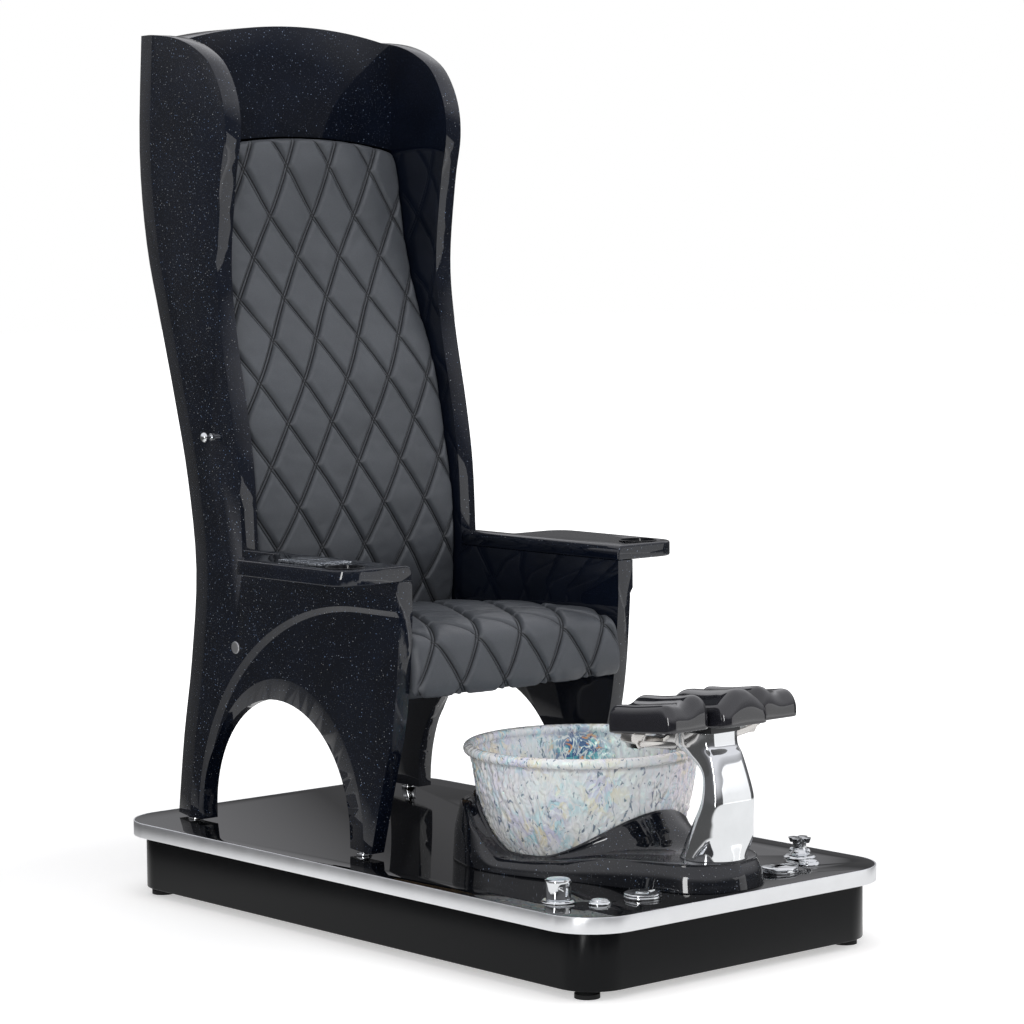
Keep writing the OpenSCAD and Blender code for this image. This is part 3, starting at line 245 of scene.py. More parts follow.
def maths(tree, operation, a, b=0.0):
    """One sum on one or two values."""
    return node(tree, "Math", {0: a, 1: b}, operation=operation).outputs[0]

def vectors(tree, operation, a, b=(0, 0, 0)):
    """One sum on one or two vectors. A length, a distance and a dot product are numbers."""
    made = node(tree, "VectorMath", {0: a, 1: b}, operation=operation)
    return made.outputs["Value" if operation in ("LENGTH", "DISTANCE", "DOT_PRODUCT") else "Vector"]

def feed(tree, shader, **patterns):
    """Links patterns to the shader's sockets; an underscore stands for a space."""
    for key, pattern in patterns.items():
        tree.links.new(pattern, shader.inputs[key.replace("_", " ")])

def bumped(tree, shader, height, distance, strength=1.0, onto=None, layer="Normal"):
    """Raises and lowers the shading by a height pattern; distance is in millimetres. The layer
    is the shader's own surface or its clear coat."""
    inputs = {"Height": height, "Distance": distance / 1000, "Strength": strength}
    if onto is not None:
        inputs["Normal"] = onto
    bump = node(tree, "Bump", inputs)
    tree.links.new(bump.outputs["Normal"], shader.inputs[layer])
    return bump.outputs["Normal"]

# %% Colours
def rgb(r, g, b):
    """Colour written as on a screen, 0 to 255, turned into light values."""
    c = np.array([r, g, b]) / 255
    c = np.where(c <= 0.04045, c / 12.92, ((c + 0.055) / 1.055) ** 2.4)
    return (*c, 1.0)

def shaded(colour, amount):
    """The same colour made darker or lighter."""
    return tuple(c * amount for c in colour[:3]) + (1.0,)

def clouded(tree, clouds, colour, dark, light, low=0.3, high=0.7):
    """The colour, darker where the clouds are low and lighter where they are high."""
    return mixed(tree, mapped(tree, clouds, low, high, 0.0, 1.0),
                 shaded(colour, dark), shaded(colour, light))

# %% [markdown]
# ### Flaked gelcoat
# The shell is moulded plastic with a dark blue-black coat that holds metal flakes under a clear
# layer. Two Voronoi patterns scatter the flakes: in each cell the distance to the cell's own
# point marks a speck, and the cell's random colour decides how bright it is and which way it is
# tilted. The tilt turns only the flakes' shading; the clear layer above them stays smooth.

# %% Gelcoat
FLAKE_SIZES = ((6.4, 0.16, 0.8), (3.2, 0.25, 0.15))     # cell in mm, speck's share of it, glow
BARE_CELLS = 0.4                                        # share of the cells without a flake

def gelcoat_finish(name, base, rough=0.36):
    """Dark coat with two sizes of tilted flakes under a clear layer."""
    finish, tree, shader = new_finish(name, Roughness=rough, Coat_Weight=1.0, Coat_Roughness=0.03,
                                      Coat_IOR=1.6, Specular_IOR_Level=0.06)
    colour = clouded(tree, noise(tree, 90, 2.0), base, 0.8, 1.2, 0.35, 0.65)
    flakes = tilt = None
    for size, reach, glow in FLAKE_SIZES:
        cells = cells_of(tree, size)
        speck = mapped(tree, cells.outputs["Distance"], reach * 0.5, reach, 1.0, 0.0)
        split = node(tree, "SeparateColor", {0: cells.outputs["Color"]})
        there = mapped(tree, split.outputs[0], BARE_CELLS, 1.0, 0.0, 1.0)
        tint = mixed(tree, split.outputs[1], rgb(140, 178, 232), rgb(240, 240, 232))
        amount = maths(tree, "MULTIPLY", speck, there)
        colour = mixed(tree, maths(tree, "MULTIPLY", amount, glow), colour, tint, "ADD")
        flakes = amount if flakes is None else maths(tree, "MAXIMUM", flakes, amount)
        turn = vectors(tree, "SUBTRACT", cells.outputs["Color"], (0.5, 0.5, 0.5))
        turn = node(tree, "VectorMath", {0: turn, "Scale": amount}, operation="SCALE").outputs[0]
        tilt = turn if tilt is None else vectors(tree, "ADD", tilt, turn)
    feed(tree, shader, Base_Color=colour, Metallic=maths(tree, "MULTIPLY", flakes, 0.4))
    facing = node(tree, "NewGeometry").outputs["Normal"]
    feed(tree, shader, Normal=vectors(tree, "NORMALIZE", vectors(tree, "ADD", tilt, facing)))
    bumped(tree, shader, noise(tree, 16, 1.0), 0.05, 0.3, layer="Coat Normal")
    return finish

gelcoat = gelcoat_finish("Flaked gelcoat", rgb(8, 13, 24))
base_coat = gelcoat_finish("Flaked gelcoat of the foot bath", rgb(10, 13, 20), rough=0.3)
print("gelcoat finishes made")

# %% [markdown]
# ### Leather
# Upholstery leather is dyed, finished with a soft sheen and pressed with a fine grain. The grain
# is a Voronoi crackle a millimetre or so wide; broad clouds vary the colour and the sheen. Each
# seam is two rows of stitches with a low ridge between them: the marks on the cushion count the
# seams of both directions, so the distance to a seam is known at every point, and the leather is
# pulled down in the two grooves and given painted shade there.

# %% Leather
DIAMOND_W, DIAMOND_H = 106.0, 162.0
LINE_GAP = 1 / math.hypot(1 / DIAMOND_W, 1 / DIAMOND_H)
GROOVE = 2.7

def leather_finish(name, base):
    """Soft dark leather with grain, pores, cloudy wear and pulled-in seams with painted shade in
    their grooves.
    """
    finish, tree, shader = new_finish(name, Specular_IOR_Level=0.42)
    clouds = noise(tree, 120, 4.0, roughness=0.55)
    fine = noise(tree, 2.2, 2.0)
    colour = clouded(tree, clouds, base, 0.88, 1.12)
    colour = mixed(tree, mapped(tree, fine, 0.35, 0.7, 0.0, 0.3), colour, shaded(base, 0.6))
    marks = node(tree, "Attribute", attribute_name="marks").outputs["Vector"]
    split = node(tree, "SeparateXYZ", {0: marks})
    groove_pulls_and_shade = []
    for count in (0, 1):
        seam = maths(tree, "PINGPONG", split.outputs[count], 0.5)
        away = maths(tree, "MULTIPLY", seam, LINE_GAP)
        away = maths(tree, "ABSOLUTE", maths(tree, "SUBTRACT", away, GROOVE))
        groove_pulls_and_shade.append(mapped(tree, away, 0.4, 1.9, 1.0, 0.0))
    groove_pull_and_shade = maths(tree, "MULTIPLY", maths(tree, "MAXIMUM", *groove_pulls_and_shade), split.outputs[2])
    # Painted shade: the colour falls almost to black in each seam's two grooves.
    colour = mixed(tree, maths(tree, "MULTIPLY", groove_pull_and_shade, 0.93), colour, shaded(base, 0.08))
    grain = cells_of(tree, 1.7, "DISTANCE_TO_EDGE")
    creases = mapped(tree, grain.outputs["Distance"], 0.0, 0.22, 0.0, 1.0)
    soft = maths(tree, "MULTIPLY", noise(tree, 26, 3.0), 2.4)
    skin = bumped(tree, shader, maths(tree, "ADD", creases, soft), 0.12, 0.5)
    bumped(tree, shader, maths(tree, "MULTIPLY", groove_pull_and_shade, -1.0), 0.9, 0.8, onto=skin)
    feed(tree, shader, Base_Color=colour, Roughness=mapped(tree, clouds, 0.3, 0.7, 0.34, 0.44))
    return finish

leather = leather_finish("Quilted leather", rgb(75, 78, 83))

def thread_finish():
    """Waxed black thread: twisted strands seen as a fine slanted ripple."""
    finish, tree, shader = new_finish("Waxed thread", Roughness=0.45, Specular_IOR_Level=0.4)
    strands = noise(tree, 0.5, 1.0, scale=(1.0, 1.0, 0.4))
    feed(tree, shader, Base_Color=mixed(tree, strands, rgb(20, 20, 22), rgb(44, 45, 48)))
    bumped(tree, shader, strands, 0.1, 0.5)
    return finish

thread = thread_finish()
print("leather and thread made")

# %% [markdown]
# ### Metals, glass and rubber
# Chrome is a bright metal with almost no roughness; a faint bump keeps its reflections from
# being perfect. The edge band is extruded aluminium, brushed along its length. The deck is black
# glass: nearly no colour of its own, and a clear reflection that grows as the eye gets lower.

# %% Chrome, aluminium, zinc and steel
def metal_finish(name, colour, rough, wave=30.0, brushed=None, spread=0.04):
    """Metal whose roughness varies a little; brushed stretches fine scratches along an axis."""
    finish, tree, shader = new_finish(name, Metallic=1.0)
    clouds = noise(tree, 45, 3.0)
    feed(tree, shader, Base_Color=clouded(tree, clouds, colour, 0.94, 1.0),
         Roughness=mapped(tree, clouds, 0.3, 0.7, rough, rough + spread))
    if brushed:
        bumped(tree, shader, noise(tree, 0.9, 2.0, scale=brushed), 0.02, 0.4)
    else:
        bumped(tree, shader, noise(tree, wave, 1.0), 0.02, 0.5)
    return finish

chrome = metal_finish("Chrome plate", (0.88, 0.90, 0.92, 1), 0.035)
column_chrome = metal_finish("Chrome plate of the column", (0.90, 0.92, 0.94, 1), 0.05, wave=60)
link_chrome = metal_finish("Nickel plate on the links", (0.70, 0.68, 0.66, 1), 0.12, spread=0.08)
aluminium = metal_finish("Brushed aluminium band", (0.90, 0.91, 0.93, 1), 0.34,
                         brushed=(0.03, 0.03, 1.0))
zinc = metal_finish("Zinc plate", (0.60, 0.62, 0.63, 1), 0.38, spread=0.12)

# %% [markdown]
# The deck's glass is wiped by hand, so broad clouds make it a little less clear in places. The
# plastics are moulded in dyed resin: even in colour, some glossy and some with a fine grain.

# %% Black glass of the deck
black_glass, tree, shader = new_finish("Black deck glass", Base_Color=rgb(9, 10, 12), IOR=1.5,
                                       Specular_IOR_Level=0.5)
wipe = noise(tree, 160, 4.0, roughness=0.6)
feed(tree, shader, Roughness=mapped(tree, wipe, 0.35, 0.7, 0.012, 0.05))

# %% Gloss plastics, rubber, wood and powder coat
def plastic_finish(name, colour, rough, coat=0.0, grain=None, specular=0.5):
    """Moulded plastic: an even colour with faint clouds, and a fine moulded grain if wanted."""
    finish, tree, shader = new_finish(name, Coat_Weight=coat, Coat_Roughness=0.05,
                                      Specular_IOR_Level=specular)
    clouds = noise(tree, 60, 3.0)
    feed(tree, shader, Base_Color=clouded(tree, clouds, colour, 0.88, 1.0),
         Roughness=mapped(tree, clouds, 0.3, 0.7, rough, rough * 1.25))
    bumped(tree, shader, noise(tree, grain or 20, 2.0), 0.05 if grain else 0.03, 0.5)
    return finish

skirt_black = plastic_finish("Gloss black skirt", rgb(12, 13, 15), 0.2, specular=0.15)
pad_black = plastic_finish("Gloss black pad skin", rgb(27, 27, 32), 0.09, coat=1.0)
head_black = plastic_finish("Black moulded head", rgb(24, 25, 28), 0.3, grain=1.2)
rubber = plastic_finish("Black rubber", rgb(24, 24, 25), 0.7, grain=0.8, specular=0.3)
liner_black = plastic_finish("Gloss black cup liner", rgb(16, 18, 23), 0.12, specular=0.4)
switch_black = plastic_finish("Black switch body", rgb(30, 31, 33), 0.45, grain=0.8)
powder = plastic_finish("Powder-coated frame", rgb(62, 65, 70), 0.5, grain=0.7)

def plywood_finish():
    """Birch plywood: long streaks of grain across a warm base."""
    finish, tree, shader = new_finish("Birch plywood", Roughness=0.6, Specular_IOR_Level=0.3)
    streaks = noise(tree, 9, 5.0, scale=(0.12, 1.0, 1.0), roughness=0.6)
    shade = mapped(tree, streaks, 0.35, 0.65, 0.0, 1.0)
    feed(tree, shader, Base_Color=mixed(tree, shade, rgb(150, 116, 78), rgb(196, 164, 120)))
    bumped(tree, shader, streaks, 0.1, 0.4)
    return finish

plywood = plywood_finish()

# %% [markdown]
# The keypad's plate is silvered and pressed with a fine pebble grain. One smooth cell pattern
# gives both the height of the small domes and painted shade where two of them meet.

# %% Hammered silver of the keypad
def hammered_finish():
    """Silver plate pressed with a fine pebble grain: each cell of the pattern is a small dome, with
    painted shade in the hollows between domes.
    """
    finish, tree, shader = new_finish("Hammered silver plate", Metallic=0.85, Roughness=0.2)
    bumps = cells_of(tree, 3.4, "SMOOTH_F1").outputs["Distance"]
    # Painted shade: the silver darkens from each dome's middle to the hollows between domes.
    shade = mapped(tree, bumps, 0.1, 0.6, 0.0, 1.0)
    feed(tree, shader, Base_Color=mixed(tree, shade, rgb(216, 220, 226), rgb(128, 134, 142)))
    bumped(tree, shader, maths(tree, "MULTIPLY", bumps, -1.0), 1.1, 0.8)
    return finish

hammered = hammered_finish()
print("finishes:", len(bpy.data.materials))

# %% [markdown]
# ## The platform
# A low box: a black skirt on hidden feet, a deck of black glass on a board, and an aluminium band
# round the deck's edge. Their solids already have the right shape, so they only get eased edges.

# %% Platform pieces
eased("plinth_skirt", 1.5, skirt_black, "skirt")
eased("edge_band", 1.2, aluminium, "band")
eased("deck_glass", 1.0, black_glass, "deck_glass")

# %% [markdown]
# ## The chair's shell
# Each side panel is one moulding from the leg to the wing beside the head, with a stepped field
# and a wide bevel round the leg arch. The mould leaves a small round where two faces meet. The
# limit angle is low here, because the bevel round the arch meets the side face at a flat angle.

# %% Panels, crest, rear skin and arms
for side, round_edge in (("right", 3.2), ("left", 6.0)):
    eased(side + "_side_panel", round_edge, gelcoat, "shell", angle=11)
    eased(side + "_armrest", 4.0, gelcoat, "shell")
eased("crest_shell", 6.0, gelcoat, "shell")
eased("rear_skin", 1.5, gelcoat, "shell")
print("shell dressed")

# %% [markdown]
# ## Quilted cushions
# The leather is stitched to foam along two sets of slanting seams. Three things shape it. Close
# to a seam the leather dips into two grooves with a thin ridge between them; away from the seam
# it rises quickly and stays almost flat over each diamond; and because leather is cut a little
# larger than the foam, every diamond carries its own soft wrinkles. The first two are formulas.
# The wrinkles come from a cloth simulation, which is how real slack leather finds its shape.

# %% Count the seams
SEAM_LEFT = 10.0

def seam_counts(x, v):
    """Two counts, (x - start) / width - v / height and (x - start) / width + v / height. A seam
    lies where either of them is a whole number."""
    across = (x - SEAM_LEFT) / DIAMOND_W
    return across - v / DIAMOND_H, across + v / DIAMOND_H

def seam_distances(x, v):
    """Distance in millimetres from each point to the nearest seam of either set."""
    return tuple(np.abs(c - np.round(c)) * LINE_GAP for c in seam_counts(x, v))

# %% Slack leather between the seams
CLOTH = {"vertex_group_mass": "held", "pin_stiffness": 1.0, "use_pressure": True,
         "uniform_pressure_force": 6.0, "shrink_min": -0.02, "mass": 0.15, "air_damping": 6,
         "tension_stiffness": 25, "compression_stiffness": 25, "shear_stiffness": 8,
         "bending_stiffness": 6.0, "tension_damping": 8, "compression_damping": 8,
         "shear_damping": 8, "quality": 5}
SLACK_TOP = 12.0                                        # no wrinkle stands higher, in mm

def slack_leather(width, length, first, seed, step=8.0, frames=20):
    """Height of slack leather over a flat sheet, in millimetres, from a cloth simulation. The
    sheet is held where it meets a seam or the border, it has a little more leather than it needs,
    and pressure from below lifts the rest. Returns a coarse grid of heights."""
    columns, rows = int(round(width / step)) + 1, int(round(length / step)) + 1
    X, V = np.meshgrid(np.linspace(-width / 2, width / 2, columns), np.linspace(0, length, rows))
    held = np.minimum(*seam_distances(X, V + first)) < 0.62 * step
    held[[0, -1]] = held[:, [0, -1]] = True
    start = np.stack([X, V, 0 * X], -1) / 1000
    unevenness = np.random.default_rng(seed).normal(0, 0.0001, X.shape)
    start[..., 2] += np.where(held, 0, 0.001 + unevenness)
    mesh = bpy.data.meshes.new("slack_leather")
    mesh.from_pydata(start.reshape(-1, 3), [], grid_quads(rows, columns))
    sheet = shown("slack_leather", mesh)
    sheet.vertex_groups.new(name="held").add(np.flatnonzero(held).tolist(), 1.0, "REPLACE")
    cloth = sheet.modifiers.new("Cloth", "CLOTH")
    for key, value in CLOTH.items():
        setattr(cloth.settings, key, value)
    cloth.settings.effector_weights.gravity = 0
    cloth.collision_settings.use_collision = False
    cloth.point_cache.frame_start, cloth.point_cache.frame_end = 1, frames + 2
    for frame_number in range(1, frames + 1):
        bpy.context.scene.frame_set(frame_number)
    settled = sheet.evaluated_get(bpy.context.evaluated_depsgraph_get()).to_mesh()
    heights = points_of(settled).reshape(rows, columns, 3)[..., 2] * 1000
    bpy.data.objects.remove(sheet)
    bpy.data.meshes.remove(mesh)
    bpy.context.scene.frame_set(1)
    print("slack leather:", heights.shape, "up to", round(float(heights.max()), 2), "mm")
    return np.clip(heights, 0, SLACK_TOP)

# %% Refine a grid and read it between its points
def spline_weights(coarse, fine):
    """Matrix that turns values at coarse even stations into fine ones with the cubic B-spline
    ((1-f)^3, 3f^3-6f^2+4, -3f^3+3f^2+3f+1, f^3) / 6."""
    t = np.linspace(0, coarse - 1, fine)
    i = np.floor(t).astype(int)
    f = t - i
    four = np.stack([(1 - f) ** 3, 3 * f ** 3 - 6 * f ** 2 + 4,
                     -3 * f ** 3 + 3 * f ** 2 + 3 * f + 1, f ** 3], 1) / 6
    stations = np.clip(i[:, None] + [-1, 0, 1, 2], 0, coarse - 1)
    weights = np.zeros((fine, coarse))
    np.add.at(weights, (np.arange(fine)[:, None], stations), four)
    return weights

def read_between(grid, row, column):
    """Bilinear reading of a grid at rows and columns that aren't whole numbers."""
    r = np.clip(np.floor(row).astype(int), 0, grid.shape[0] - 2)
    c = np.clip(np.floor(column).astype(int), 0, grid.shape[1] - 2)
    fr, fc = row - r, column - c
    if grid.ndim == 3:
        fr, fc = fr[..., None], fc[..., None]
    upper = grid[r, c] * (1 - fc) + grid[r, c + 1] * fc
    lower = grid[r + 1, c] * (1 - fc) + grid[r + 1, c + 1] * fc
    return upper * (1 - fr) + lower * fr

# %% The relief of the quilting
QUILT_RISE, RIDGE_RISE = 8.5, 2.4                       # a diamond, and a seam's ridge, in mm

def quilt(x, v):
    """The rise times (1 - e^(-((d-3)/2.8)^1.25)) for the distance d to each set of seams, the
    two multiplied, plus the ridge's rise times e^(-(d/1.7)^2) along each seam."""
    near, far = seam_distances(x, v)
    rise = lambda d: 1 - np.exp(-(np.clip(d - 3.0, 0, None) / 2.8) ** 1.25)
    ridge = np.maximum(np.exp(-(near / 1.7) ** 2), np.exp(-(far / 1.7) ** 2))
    return QUILT_RISE * rise(near) * rise(far) + RIDGE_RISE * ridge

# %% [markdown]
# A cushion is one grid of points whose rim is folded down and closed at the back. The stitches
# are separate short loops of thread, in two rows along each seam. They are laid out in the flat
# plan first and then carried onto the face, by reading its points between grid lines.

# %% The cushion's face
ROLL = 15.0                                             # radius of the rolled rim, mm
CALM_WIDTH = 14.0                                       # the quilting fades out over this, mm
SLACK_SHARE = 0.42                                      # how much of the simulated slack is used
QUILT_LEVEL, SLACK_LEVEL = 8.0, 3                       # heights that lie on the cushion's path
RIM_DROP = 4.0                                          # how much lower the calm rim lies, mm
FINE_ROWS, FINE_COLUMNS = 800, 400                      # cells of the refined slack

def slack_at(X, V, v, half, seed):
    """The slack leather's height at each point of a face, read from a refined grid."""
    coarse = slack_leather(2 * half, v[-1] - v[0], v[0], seed)
    down = spline_weights(coarse.shape[0], FINE_ROWS + 1)
    fine = down @ coarse @ spline_weights(coarse.shape[1], FINE_COLUMNS + 1).T
    return read_between(fine, (V - v[0]) / (v[-1] - v[0]) * FINE_ROWS,
                        (X + half) / (2 * half) * FINE_COLUMNS)

def cushion_face(path, v, half, crown, seed, step):
    """Grid of points over a path of [y, z] points, half to each side. Each point is moved along
    the path's normal by crown times (1 - |x/half|^4), plus the quilting, plus a share of the
    slack; towards the rim it rolls down in a quarter circle. Returns the grid, its x stations
    and how strongly the seams pull at each point."""
    slope = np.gradient(path, axis=0)
    nine = np.ones(9) / 9
    slope = np.column_stack([np.convolve(np.pad(slope[:, k], 4, "edge"), nine, "valid")
                             for k in (0, 1)])
    normal = np.column_stack([-slope[:, 1], slope[:, 0]])
    normal /= np.linalg.norm(normal, axis=1)[:, None]
    bend = np.linspace(0, np.pi / 2, 9)[1:]
    level = half - ROLL
    across = np.linspace(-level, level, int(round(2 * level / step)) + 1)
    corner, fall = level + ROLL * np.sin(bend), ROLL * (1 - np.cos(bend))
    x = np.concatenate([-corner[::-1], across, corner])
    side_drop = np.concatenate([fall[::-1], np.zeros(len(across)), fall])
    X, V = np.meshgrid(x, v)
    ends = np.minimum(np.arange(len(path)), np.arange(len(path))[::-1])[:, None] * step
    calm = ease((half - np.abs(X)) / CALM_WIDTH) * ease(ends / CALM_WIDTH)
    end_arc = ROLL - np.sqrt(np.clip(ROLL ** 2 - (ROLL - ends) ** 2, 0, None))
    end_drop = np.where(ends < ROLL, end_arc, 0)
    slack = slack_at(X, V, v, half, seed)
    relief = (quilt(X, V) - QUILT_LEVEL + SLACK_SHARE * (slack - SLACK_LEVEL)) * calm
    lift = crown(path)[:, None] * (1 - np.abs(X / half) ** 4) + relief
    lift = lift - RIM_DROP * (1 - calm) - np.minimum(side_drop[None, :] + end_drop, ROLL * 1.2)
    face = np.empty(X.shape + (3,))
    face[..., 0] = X
    face[..., 1:] = path[:, None, :] + normal[:, None, :] * lift[..., None]
    return face, x, calm

# %% The cushion's sides and back
def cushion_sides(face, x, back, half, rings_down=9):
    """Points and faces from the face's rim down to the back path, pulled in by up to 2.5 mm on
    the way, and the loop of points that closes the back."""
    t = np.linspace(0, 1, rings_down)[1:]
    rows, columns = face.shape[:2]
    rim = np.concatenate([[(0, c) for c in range(columns)],
                          [(r, columns - 1) for r in range(1, rows)],
                          [(rows - 1, c) for c in range(columns - 2, -1, -1)],
                          [(r, 0) for r in range(rows - 2, 0, -1)]])
    top = face[rim[:, 0], rim[:, 1]]
    low = np.column_stack([x[rim[:, 1]], back[rim[:, 0]]])
    wall = top[None] + (low - top)[None] * t[:, None, None]
    inward = -np.sign(wall[..., :1]) * (np.abs(wall[..., :1]) > half - 1)
    wall[..., :1] += inward * (2.5 * np.sin(np.pi * t))[:, None, None]
    new_rings = rows * columns + np.arange(len(t) * len(rim)).reshape(len(t), -1)
    rings = np.vstack([rim[:, 0] * columns + rim[:, 1], new_rings])
    a, b = rings[:-1], rings[1:]
    quads = np.stack([np.roll(a, -1, 1), a, b, np.roll(b, -1, 1)], -1).reshape(-1, 4)
    return wall.reshape(-1, 3), quads, rings[-1][::-1]

def cushion(name, path, back, half, crown, rows_at, seed, step=1.55):
    """Closed cushion from its face path and its back path. Returns the piece, and the face grid
    with its x and v stations."""
    path = evened(path, step)
    share = np.linspace(0, 1, len(path))
    back = np.column_stack([np.interp(share, np.linspace(0, 1, len(back)), back[:, k])
                            for k in (0, 1)])
    v = rows_at(path)
    face, x, calm = cushion_face(path, v, half, crown, seed, step)
    wall, wall_quads, closing = cushion_sides(face, x, back, half)
    marks = np.stack([*seam_counts(*np.meshgrid(x, v)), calm], -1).reshape(-1, 3)
    made = piece(name, np.vstack([face.reshape(-1, 3), wall]),
                 np.vstack([grid_quads(*calm.shape), wall_quads]), [closing],
                 np.vstack([marks, np.zeros(wall.shape)]))
    print(name, "points:", len(marks) + len(wall))
    return made, face, x, v

# %% Stitches on a cushion
STITCH_PITCH, STITCH_LONG, STITCH_THICK = 5.2, 4.0, 0.42
SEAM_REACH, SEAM_NUMBERS = 2200, range(-26, 27)         # enough to cover either cushion
SIDE_MARGIN, END_MARGIN = 15, 12                        # no stitch nearer to the rim, mm

def stitch_plan(half, v):
    """Middle and heading of every stitch in the flat plan: two rows along each seam."""
    slant = np.array([DIAMOND_W, DIAMOND_H]) / math.hypot(DIAMOND_W, DIAMOND_H)
    span = np.arange(-SEAM_REACH, SEAM_REACH, STITCH_PITCH)
    centres, headings = [], []
    for sign in (1, -1):
        aim = np.array([slant[0], sign * slant[1]])
        aside = np.array([-aim[1], aim[0]])
        for number in SEAM_NUMBERS:
            for lane in (-GROOVE, GROOVE):
                start = np.array([SEAM_LEFT + number * DIAMOND_W, 0.0]) + aside * lane
                centres.append(start + span[:, None] * aim)
                headings.append(np.repeat(aim[None], len(span), 0))
    centres, headings = np.vstack(centres), np.vstack(headings)
    inside = ((np.abs(centres[:, 0]) < half - SIDE_MARGIN)
              & (centres[:, 1] > min(v[0], v[-1]) + END_MARGIN)
              & (centres[:, 1] < max(v[0], v[-1]) - END_MARGIN))
    return centres[inside], headings[inside]

def stitches(name, face, x, v, half):
    """Loops of thread. Each stitch is a low tube of three four-sided rings, carried onto the
    face by bilinear reading of its grid."""
    centres, headings = stitch_plan(half, v)
    stations = np.array([-0.5, 0.0, 0.5]) * STITCH_LONG
    lifts, widths = np.array([-0.35, 0.25, -0.35]), np.array([0.5, 1.0, 0.5]) * STITCH_THICK
    turn = np.array([[1, 0], [0, 1], [-1, 0], [0, -1]])
    flat = centres[:, None, :] + headings[:, None, :] * stations[None, :, None]
    column = np.interp(flat[..., 0], x, np.arange(len(x)))
    row = np.interp(flat[..., 1], v, np.arange(len(v)))
    spot = read_between(face, row, column)
    ahead = spot[:, 2:3] - spot[:, 0:1]
    ahead /= np.linalg.norm(ahead, axis=2, keepdims=True)
    beside = read_between(face, row, column + 0.5) - read_between(face, row, column - 0.5)
    above = read_between(face, row + 0.5, column) - read_between(face, row - 0.5, column)
    up = np.cross(beside, above)
    up /= np.linalg.norm(up, axis=2, keepdims=True)
    across = np.cross(ahead, up)
    outward = (across[:, :, None, :] * turn[None, None, :, :1]
               + up[:, :, None, :] * turn[None, None, :, 1:])
    middle = (spot + up * lifts[None, :, None])[:, :, None, :]
    rings = middle + widths[None, :, None, None] * outward
    first = np.arange(len(centres))[:, None, None] * 12
    ring, k = np.arange(2)[None, :, None] * 4, np.arange(4)[None, None, :]
    here, following = first + ring + k, first + ring + (k + 1) % 4
    sides = np.stack([here, following, following + 4, here + 4], -1)
    caps = first[:, :, 0] + np.array([[3, 2, 1, 0, 8, 9, 10, 11]])
    print(name, "stitches:", len(centres))
    return piece(name, rings.reshape(-1, 3), np.vstack([sides.reshape(-1, 4), caps.reshape(-1, 4)]))

# %% [markdown]
# The back cushion's face is a curve through points read off the drawing. Its top edge follows
# the arch of the crest, so the finished points are raised there. The seat cushion's path starts
# under its rolled front, goes round the roll and runs back along the top.

# %% The back cushion
CUSHION_HALF = 256.4
ROW_Z = 864.0                                           # height of a crossing of the seams
BACK_LOW, BACK_TOP, BACK_THICK = 380.0, 1321.4, 61.4
face_knots = [[400, 379.3], [393, 500], [396, 624], [421, 762], [449, 889], [501, 1016],
              [538, 1139], [558, 1262], [575, 1322]]
face_line = smooth_curve(face_knots, 8)
back_path = np.vstack([[416, 379.6], face_line[2:-1], [575, 1321]])
support_z = np.linspace(BACK_LOW, BACK_TOP, 60)
support_y = np.interp(support_z, face_line[:, 1], face_line[:, 0]) + BACK_THICK

def back_crown(path):
    """15 mm in the middle of the height, and almost flat at the ends."""
    return 14 * ease((path[:, 1] - 400) / 120) * ease((1334 - path[:, 1]) / 30) + 1

def with_arch(points):
    """Extra height of the top edge, which follows the crest: 26 mm in the middle."""
    return 26 * (1 - (points[..., 0] / 256.7) ** 2) * ease((points[..., 2] - 1180) / 140)

back_cushion, face, x, v = cushion("back_cushion_leather", back_path,
                                   np.column_stack([support_y, support_z]), CUSHION_HALF,
                                   back_crown, lambda path: path[:, 1] - ROW_Z, seed=3)
raised = points_of(back_cushion.data)
raised[:, 2] += with_arch(raised * 1000 - (DECK_LEFT, DECK_BACK, DECK_UP)) / 1000
back_cushion.data.vertices.foreach_set("co", raised.ravel())
back_cushion.data.update()
dressed(back_cushion, leather, "chair", "cushion", "back_cushion")
face[..., 2] += with_arch(face)
dressed(stitches("back_cushion_stitches", face, x, v, CUSHION_HALF), thread, "chair", "cushion")

# %% The seat cushion
SHOULDER_Y, SEAT_TOP = -9.5, 425
ROW_SHRINK, ROW_START = 0.89, 77                        # seam count per mm, and its start
SEAT_FRONT, SEAT_REAR, SEAT_LOW, BOARD_TOP = -62.6, 384.6, 300.5, 335.3
seat_front = [[-82, 300.5], [-95, 307], [-103, 327], [-100, 368], [-86, 405], [-50, 420],
              [SHOULDER_Y, SEAT_TOP]]
seat_top = [[y, SEAT_TOP - 18 * (max(y - 100, 0) / 290) ** 1.5] for y in np.arange(31, 372, 40.5)]
seat_path = smooth_curve(seat_front + seat_top + [[383, 408], [392, 399]], 8)
seat_back = np.vstack([[[SEAT_FRONT, SEAT_LOW + 34.8 * t] for t in np.linspace(0, 1, 14)],
                       [[SEAT_FRONT + (SEAT_REAR - SEAT_FRONT) * t, BOARD_TOP]
                        for t in np.linspace(0, 1, 62)[1:]]])

def seat_rows(path):
    """Quilting rows on the seat are counted along the path from its front shoulder, and are a
    little taller than those of the back."""
    steps = np.linalg.norm(np.diff(path, axis=0), axis=1)
    along = np.concatenate([[0], np.cumsum(steps)])
    nose = np.argmin(path[:, 0])
    shoulder = np.interp(SHOULDER_Y, path[nose:, 0], along[nose:])
    return DIAMOND_H + ROW_SHRINK * (along - shoulder + ROW_START)

